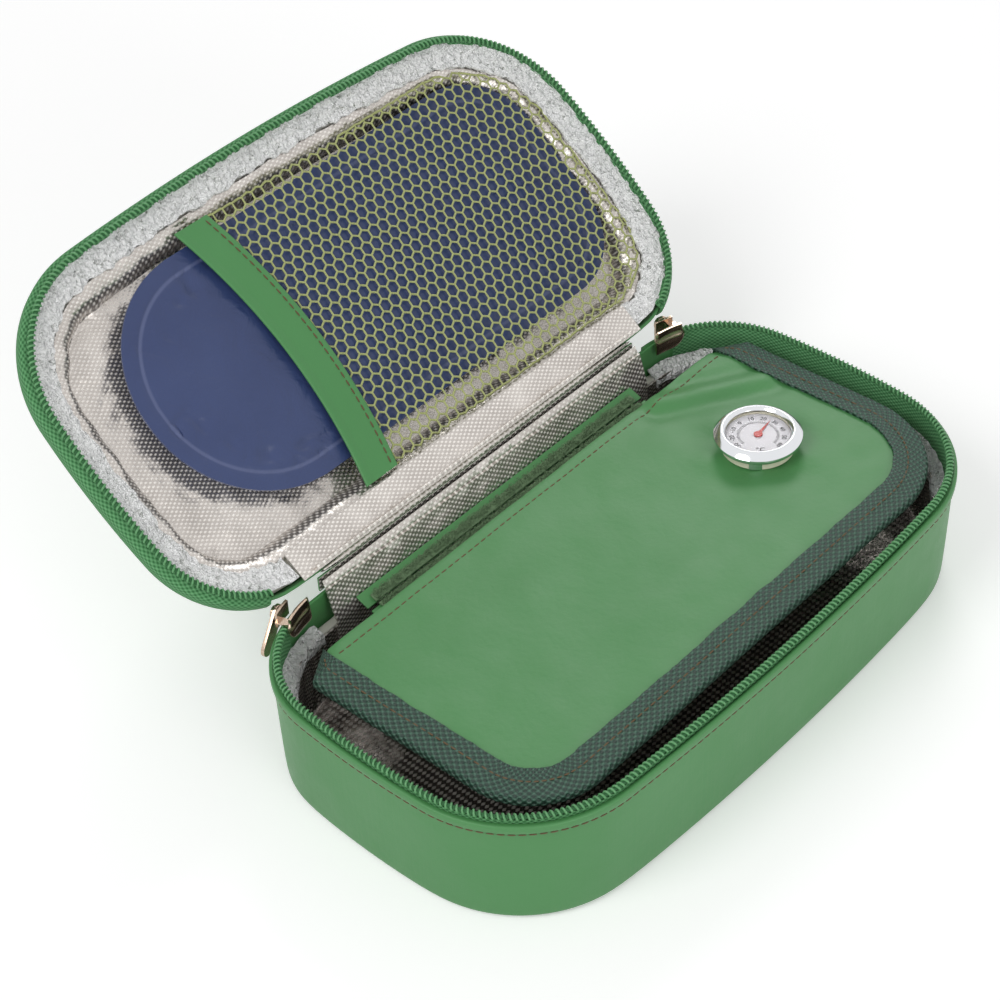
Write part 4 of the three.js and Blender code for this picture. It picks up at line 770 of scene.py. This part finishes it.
def folded_webbing(s):
    """The binding's section at a length: pinched at the edge, its inner borders wandering."""
    top = 9.9 + 0.5 * noise((s / 9, 1.1, 0)) + 0.25 * noise((s / 2, 2.1, 0))
    under = 9.6 + 0.6 * noise((s / 8, 7.1, 0))
    rise = WEBBING_RISE + 0.16 * noise((s / 3.1, 4.4, 0))
    insets = [1.0, 0.85, 0.66, 0.46, 0.28, 0.13, 0.06]
    over = [(top * t, FLAP_MIDDLE + FLAP_HALF * pinch(top * t) + rise) for t in insets]
    edge = [(0.15, 5.0), (0.0, 4.55), (-0.05, 4.0), (0.0, 3.45), (0.15, 3.0)]
    below = [(under * t, FLAP_MIDDLE - FLAP_HALF * pinch(under * t) - WEBBING_RISE) for t in insets[::-1]]
    inside = [(d, FLAP_MIDDLE - WEBBING_UNDER * pinch(d)) for d in (under, under * 0.5)]
    inside += [(1.0, FLAP_MIDDLE - 0.72), (1.0, FLAP_MIDDLE + 0.72)]
    inside += [(d, FLAP_MIDDLE + WEBBING_UNDER * pinch(d)) for d in (top * 0.5, top)]
    return over + edge + below + inside


# Woven polypropylene: floats painted lighter as painted highlights over gaps painted dark as painted shade,
# with single loose fibres.
webbing_green, tree, shader = new_finish("woven_polypropylene_webbing", Roughness=0.5)
floats = weave(tree, on_cloth(tree, 2.5, 1.9))
level = add(tree, "MapRange", {"Value": floats, "From Min": -0.6, "From Max": 0.9})
fray = add(tree, "TexNoise", {"Vector": on_surface(tree, 0.16), "Detail": 4.0})
painted_float_highlight = add(tree, "Math", {0: level, 1: (fray, "Fac")}, operation="MULTIPLY")
# Dark gaps to light floats: painted shade and painted highlights on a yarn of one dark green.
tone = add(tree, "Mix", {0: painted_float_highlight, 6: "#122C22", 7: "#5E8C76"}, data_type="RGBA")
relief = add(tree, "Bump", {"Height": level, "Strength": 0.9, "Distance": 0.0006})
feed(shader, {"Base Color": (tone, 2), "Normal": relief})
flap_binding = swept("flap_edge_webbing", spaced(flap_line(), 1.1), folded_webbing)
for v in flap_binding.data.vertices:
    v.co.z += flap_sag(v.co.x / MM, v.co.y / MM) * MM
flap_binding.data.transform(FOLD)
settle(flap_binding, ["flap_webbing"], "flap", webbing_green)


def flap_stitches(name, row, height):
    spots = [tuple(FOLD @ (Vector((x, y, height(x, y) + flap_sag(x, y))) * MM) / MM) for x, y in row]
    stitched(name, spots, [FOLD.to_3x3() @ Vector((0, 0, 1))] * len(row), "flap")


edge_row = [(x - nx * STITCH_INSET, y - ny * STITCH_INSET)
            for x, y, nx, ny in spaced(flap_line(), STITCH_PITCH)[2:-2]]
flap_stitches("webbing_stitch", edge_row,
              lambda x, y: FLAP_MIDDLE + FLAP_HALF * pinch(STITCH_INSET) + 0.74)
rear_row = [(x, -9.3 + 0.6 * (x - FLAP_LEFT) / (FLAP_RIGHT - FLAP_LEFT))
            for x in np.arange(FLAP_LEFT + 12, FLAP_RIGHT - 10, STITCH_PITCH)]
flap_stitches("flap_rear_stitch", rear_row, lambda x, y: FLAP_TOP - 0.03 + flap_swell(x, y))

# Thermometer: a bimetal dial clamped through the flap. A moulded cream cup carries a spun and
# chromed bezel over a clear lens, a lacquered dial sheet and a red pointer.

DIAL = FOLD @ Matrix.Translation((DIAL_SPOT[0] * MM, DIAL_SPOT[1] * MM, FLAP_TOP * MM))
POINTER_RAISE = 0.4


def turned(name, node, finish, profile):
    """A piece spun about the dial's axis from a profile of (radius, height) points in mm."""
    piece = built(name, np.array([(r, 0, z) for r, z in profile]) * MM, [],
                  [(i, i + 1) for i in range(len(profile) - 1)])
    give(piece.modifiers.new("spin", "SCREW"), steps=96, render_steps=96, use_merge_vertices=True,
         merge_threshold=WELD["threshold"])
    apply_all(piece)
    edited(piece, (bpy.ops.mesh.remove_doubles, WELD), OUTWARD)
    piece.data.transform(DIAL)
    smooth_under(28)
    settle(piece, [node], "flap", finish)


# Bright chrome over spun steel: a clear mirror, a little duller where it is rubbed.
chrome, tree, shader = new_finish("polished_chrome_plate", Metallic=1.0, Base_Color="#E3E5E8")
rub = add(tree, "TexNoise", {"Vector": on_surface(tree, 1.0), "Detail": 6.0})
worn = add(tree, "MapRange", {"Value": (rub, "Fac"), "To Min": 0.04, "To Max": 0.12})
feed(shader, {"Roughness": worn})
# Moulded ABS is satin and even, the dial's lacquer dull and cool, the pointer's lacquer glossy.
cream = mottled("moulded_cream_abs", 1.4, "#D3CFB6", "#E2DECA", 3.0, Roughness=0.38)[0]
print_white = mottled("lacquered_dial_sheet", 0.8, "#C6C4C8", "#D0CED2", Roughness=0.45)[0]
red_lacquer = mottled("red_lacquered_aluminium", 0.4, "#A3241C", "#B5332A", Roughness=0.35)[0]
# Clear acrylic, bent and mirrored less than the real one, so that the print below stays legible.
clear_lens = new_finish("clear_acrylic_lens", Roughness=0.0, IOR=1.05, Transmission_Weight=1,
                        Base_Color=(1, 1, 1, 1))[0]
turned("chromed_bezel", "thermometer_bezel", chrome, [
    (10.8, 3.5), (12.0, 3.5), (12.35, 3.6), (12.9, 4.3), (13.0, 4.6), (12.9, 5.2), (11.9, 6.2),
    (11.0, 6.8), (10.7, 6.92), (10.4, 6.94), (10.1, 6.8), (9.55, 6.2), (9.4, 6.0), (9.4, 5.95),
    (10.8, 5.95), (10.8, 3.5)])
clasp = swept("bezel_clasp", arc((0, 0), 10.95, math.radians(204), math.radians(224), 10), softened(
    [(0, 0.4), (0, 3.7), (0.22, 3.7), (0.22, 0.4)], 0.08), DIAL)
settle(clasp, [], "flap", chrome)
turned("cream_housing", "thermometer_housing", cream, [
    (0, -6.6), (7.8, -6.6), (8, -6.4), (8, 0.25), (10.5, 0.25), (10.7, 0.45), (10.7, 4.75),
    (10.6, 4.85), (9.9, 4.85), (9.9, 3.35), (6.8, 3.35), (6.8, -5.8), (0, -5.8)])
turned("dial_sheet", "thermometer_dial", print_white,
       [(0.8, 4.0), (9.6, 4.0), (9.6, 4.4), (0.8, 4.4), (0.8, 4.0)])
turned("clear_lens", "thermometer_lens", clear_lens,
       [(0, 5.15), (10.6, 5.15), (10.6, 5.8), (9.2, 5.92), (0, 6.0)])
red_pointer = remade("thermometer_pointer", "red_pointer", "pointer", red_lacquer, 0.05, 1)
red_pointer.data.transform(Matrix.Translation(FOLD.to_3x3() @ Vector((0, 0, POINTER_RAISE * MM))))

# Dial printing: a plain scale of numerals from -30 to 60 set radially, a tick each two degrees
# and the sign of the unit, screen-printed on the dial sheet in dark grey ink.

# Screen-printed ink: dull and nearly even.
ink = mottled("printed_grey_ink", 0.2, "#17171A", "#232326", Roughness=0.5)[0]
FACE = DIAL @ Matrix.Translation((0, 0, 4.42 * MM)) @ Matrix.Rotation(math.radians(-46.2), 4, "Z")
FIRST_MARK, MARK_STEP, TICKS_PER_MARK = -124.0, 28.4, 5


def on_dial(turn, radius):
    """A place on the face at a clockwise turn from its top."""
    return FACE @ Matrix.Rotation(-math.radians(turn), 4, "Z") @ Matrix.Translation((0, radius * MM, 0))


def printed(name, words, height, radius, turn):
    deselect()
    bpy.ops.object.text_add()
    letters = give(bpy.context.object, name=name)
    give(letters.data, body=words, size=height * MM, align_x="CENTER", align_y="CENTER",
         extrude=0.015 * MM, offset=0.03 * MM, resolution_u=3)
    bpy.ops.object.convert(target="MESH")
    letters = bpy.context.object
    letters.data.transform(on_dial(turn, radius))
    settle(letters, [], "flap", ink)


for i in range(10):
    printed("scale_number", str(i * 10 - 30), 1.95, 7.5, FIRST_MARK + MARK_STEP * i)
printed("unit_sign", "°C", 2.4, -6.7, 0)
deselect()
bpy.ops.mesh.primitive_cube_add(size=MM)
ticks = strew("scale_ticks", master_mesh((0.2, 0.8, 0.03)), [
    on_dial(FIRST_MARK + MARK_STEP * i / TICKS_PER_MARK, 5.75)
    @ Matrix.Scale(1.0 if i % TICKS_PER_MARK else 1.35, 4, (0, 1, 0)) for i in range(46)])
settle(ticks, [], "flap", ink)

# Gel pack: navy film welded all round, filled with gel. Both sides are crowned, the welded
# border stays flat, and short creases run in from the weld.

PACK_LEFT, PACK_RIGHT, PACK_FRONT, PACK_REAR = -78.4, 90.0, -42.0, 33.0
PACK_SIDES = ((PACK_LEFT, -1, 37.0), (PACK_RIGHT, 1, 24.0))
PACK_FACE, PACK_BACK, WELD_FACE, WELD_BACK, WELD_WIDTH = 46.8, 54.3, 47.75, 48.5, 5.4


def pack_depth(x, y):
    """How far a point lies from the pack's cut edge."""
    depth = min(y - PACK_FRONT, PACK_REAR - y, x - PACK_LEFT, PACK_RIGHT - x)
    for edge, side, radius in PACK_SIDES:
        cx = edge - side * radius
        for cy, way in ((PACK_FRONT + radius, 1), (PACK_REAR - radius, -1)):
            if (x - cx) * side > 0 and (cy - y) * way > 0:
                depth = min(depth, radius - math.hypot(x - cx, y - cy))
    return max(0.0, depth)


# Welded polyethylene film: satin, drifting in tone, creased, with a paler line on the weld.
gel_film, tree, shader, drift, film = mottled("navy_welded_film", 28, "#2A3862", "#3C4B77", 4.0,
                                              Roughness=0.34)
depth_map = add(tree, "Attribute", attribute_name="edge_depth")
away = add(tree, "Math", {0: (depth_map, "Fac"), 1: WELD_WIDTH}, operation="SUBTRACT")
near = add(tree, "Math", {0: away}, operation="ABSOLUTE")
line = add(tree, "MapRange", {"Value": near, "From Min": 0.25, "From Max": 0.75,
                              "To Min": 0.75, "To Max": 0.0})
tone = add(tree, "Mix", {0: line, 6: (film, 2), 7: "#5A648A"}, data_type="RGBA")
creases = add(tree, "TexNoise", {"Vector": on_surface(tree, 9), "Detail": 4.0, "Distortion": 0.6})
relief = add(tree, "Bump", {"Height": (creases, "Fac"), "Strength": 0.4, "Distance": 0.002})
feed(shader, {"Base Color": (tone, 2), "Normal": relief})
deselect()
bpy.ops.mesh.primitive_grid_add(x_subdivisions=150, y_subdivisions=90, size=2)
gel_pack = bpy.context.object
gel_pack.name = "gel_cushion"
for v in gel_pack.data.vertices:
    y = PACK_FRONT + 0.05 + (v.co.y + 1) / 2 * (PACK_REAR - PACK_FRONT - 0.1)
    left, right = (side * rounded_end(edge, side, radius, 0, min(y - PACK_FRONT, PACK_REAR - y))
                   for edge, side, radius in PACK_SIDES)
    v.co = Vector((left + (v.co.x + 1) / 2 * (right - left), y, 47.6)) * MM
give(gel_pack.modifiers.new("thickness", "SOLIDIFY"), thickness=0.8 * MM, offset=1)
apply_all(gel_pack)
depths = []
for v in gel_pack.data.vertices:
    x, y, z = v.co / MM
    depth = pack_depth(x, y)
    depths.append(depth)
    rise = 1 - math.exp(-((max(0, depth - 5.6) / 5.5) ** 1.6))
    groove = 0.35 * math.exp(-((depth - WELD_WIDTH) / 0.55) ** 2)
    waves = noise((x / 17, y / 17, 2.2)) * 0.55 + noise((x / 7, y / 7, 9.1)) * 0.2
    cuts = math.exp(-((depth - 9) / 5) ** 2) * max(0, noise((x / 4, y / 4, 5.5)) - 0.1) * 1.6
    if z < 48:
        v.co.z = (WELD_FACE + groove + rise * (PACK_FACE - WELD_FACE + 0.35 + waves * 0.6) + cuts) * MM
    else:
        v.co.z = (WELD_BACK - groove + rise * (PACK_BACK - WELD_BACK - 0.3 + waves * 0.5) - cuts) * MM
edge_depth = gel_pack.data.attributes.new("edge_depth", "FLOAT", "POINT")
edge_depth.data.foreach_set("value", depths)
gel_pack.data.transform(LID_OPEN)
smooth_under(60)
settle(gel_pack, ["gel_pack"], "gel_pack", gel_film)

# Net pocket: knitted polyester net with even hexagonal cells 3.7 mm wide, stretched over the
# pack and sewn under the lid's lining on three sides.

CELL_X, ROW_Y, CELL_HEIGHT = 3.7, 3.35, 4.45
NET_LEFT, NET_RIGHT, NET_FRONT, NET_REAR, NET_HEIGHT = -31.1, 94.4, -45.8, 42.5, 46.12


def skewed(x, y):
    """The net is pulled a little out of square."""
    return x - 0.073 * y, y + 0.03 * x


def mouth_bow(y):
    return 6 * (1 - ((y + 1.65) / 44.35) ** 2)


def outside_net(x, y):
    """How far a point lies beyond the net's cut edge, negative inside."""
    out = max(x - NET_RIGHT, NET_FRONT - y, y - NET_REAR, NET_LEFT + mouth_bow(y) - x)
    for radius, edge, side in ((30, NET_FRONT, 1), (21, NET_REAR, -1)):
        cx, cy = NET_RIGHT - radius, edge + side * radius
        if x > cx and (y - cy) * side < 0:
            out = max(out, math.hypot(x - cx, y - cy) - radius)
    return out


# Knitted polyester yarn: dull, pale olive, with darker gaps between its fibres.
net_yarn, tree, shader, haze, tone = mottled("knitted_polyester_net", 0.16, "#9FA75A", "#CED39C", 3.0,
                                             Roughness=0.6)
relief = add(tree, "Bump", {"Height": (haze, "Fac"), "Strength": 0.6, "Distance": 0.0004})
feed(shader, {"Normal": relief})
corners, cells, corner_index = [], [], {}
for row_number in range(-17, 16):
    for column_number in range(-14, 32):
        cx = (column_number + (row_number % 2) / 2) * CELL_X
        cy = row_number * ROW_Y
        if outside_net(*skewed(cx, cy)) > 0.4:
            continue
        cell = []
        for dx, dy in ((0, 0.5), (0.5, 0.25), (0.5, -0.25), (0, -0.5), (-0.5, -0.25), (-0.5, 0.25)):
            key = (round((cx + dx * CELL_X) * 4), round((cy + dy * CELL_HEIGHT) * 2))
            if key not in corner_index:
                x, y = skewed(cx + dx * CELL_X, cy + dy * CELL_HEIGHT)
                for _ in range(30):
                    if outside_net(x, y) <= 0:
                        break
                    x, y = x + (35 - x) * 0.01, y + (-1.5 - y) * 0.01
                corner_index[key] = len(corners)
                corners.append((x, y, NET_HEIGHT + 0.12 * noise((x / 14, y / 14, 3.3))))
            cell.append(corner_index[key])
        cells.append(cell)
net = built("net_of_hexagons", np.array(corners) * MM, cells)
give(net.modifiers.new("yarn", "WIREFRAME"), thickness=0.78 * MM, use_even_offset=False, use_boundary=True)
apply_all(net)
net.data.transform(LID_OPEN)
bpy.ops.object.shade_smooth()
settle(net, ["mesh_pocket"], "lid", net_yarn)

# Pocket mouth: a folded band of the skin's cloth, rolled at its free edge and sewn over the
# net's raw edge with one row of brown thread.

mouth_line = [(NET_LEFT + 6.2 + mouth_bow(y), y, 1, 0) for y in np.linspace(-46, 42.7, 70)]
hem = swept("pocket_mouth_band", mouth_line, softened(
    [(0.0, 44.7), (0.0, 45.4), (12.0, 45.42), (12.6, 45.1), (12.55, 44.3), (11.2, 44.2), (9.6, 44.5),
     (6.0, 44.42), (2.0, 44.5), (0.8, 44.35)], 0.5), LID_OPEN)
settle(hem, ["pocket_hem"], "lid", green_skin)
mouth_row = [(NET_LEFT + 4.1 + mouth_bow(y), y, 44.42) for y in np.arange(-45, 42, STITCH_PITCH)]
stitched("pocket_mouth_stitch", mouth_row, [(0, 0, -1)] * len(mouth_row), "lid", LID_OPEN)

# Zip sliders and pull tabs: cast zinc, barrelled smooth and plated in a warm copper grey. The
# sliders wait at the two ends of the zip, each with a shield-shaped plate inside the case.

SHIELD_HALF_LENGTH, SHIELD_HALF_HEIGHT, SHIELD_LINE = 5.4, 4.1, 28.3
SHIELD_OUTER, SHIELD_INNER, SHIELD_DROP = 3.35, 4.3, 1.3
# Barrelled and plated zinc: a warm metal with soft, slightly uneven mirroring.
plated_zinc, tree, shader, rub, tone = mottled("plated_cast_zinc", 0.6, "#B39A86", "#D6C3B1", 5.0,
                                               Metallic=1.0)
worn = add(tree, "MapRange", {"Value": (rub, "Fac"), "To Min": 0.1, "To Max": 0.28})
feed(shader, {"Roughness": worn})


def shield(name, side):
    """The slider's inner plate: straight at the hinge end, round at the other, ridged along."""
    heading = math.radians(75) if side > 0 else math.radians(105)
    points = []
    across = np.linspace(-1, 1, 13)
    lengths = np.linspace(-1, 1, 27)
    for u in lengths:
        turn = heading + side * u * SHIELD_HALF_LENGTH / SHIELD_LINE
        half = SHIELD_HALF_HEIGHT * (
            math.sqrt(max(0.02, 1 - ((-u - 0.1) / 0.9) ** 2)) if u < -0.1 else 1 - 0.05 * u)
        ring = []
        for t in across:
            drop = 0.35 * (abs(t) ** 6) + 0.3 * (abs(u) ** 8)
            ridge = 0.45 * math.exp(-(t * half / 0.8) ** 2) * (1 - u ** 6)
            ring.append((SHIELD_INNER - drop + ridge, t * half))
        ring += [(SHIELD_OUTER + 0.2 * abs(t) ** 6, t * half * 0.97) for t in across[::-1]]
        for inset, v in ring:
            radius = REAR_RADIUS - inset + 0.1 * v
            points.append((side * REAR_CORNER[0] + radius * math.cos(turn),
                           REAR_CORNER[1] + radius * math.sin(turn), SEAM - SHIELD_DROP + v))
    piece = built(name, np.array(points) * MM, tube_faces(len(lengths), 2 * len(across)))
    edited(piece, OUTWARD)
    smooth_under(40)
    return piece


for side, way in (("left", -1), ("right", 1)):
    slider = "slider_" + side
    remade(slider, "cast_slider_" + side, slider, plated_zinc, 0.25, 1)
    settle(shield("slider_shield_" + side, way), [], slider, plated_zinc)
    remade("pull_tab_" + side, "cast_pull_tab_" + side, "pull_tab_" + side, plated_zinc, 0.25, 1)

# Clip under the flap: a cream ring screwed on the thermometer's stem, with the bimetal spring
# and its spindle inside the cup.

for node, finish in (("thermometer_clip_ring", cream), ("thermometer_spring", plated_zinc),
                     ("thermometer_spindle", chrome)):
    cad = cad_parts[node]
    cad.data.materials.clear()
    cad.data.materials.append(finish)
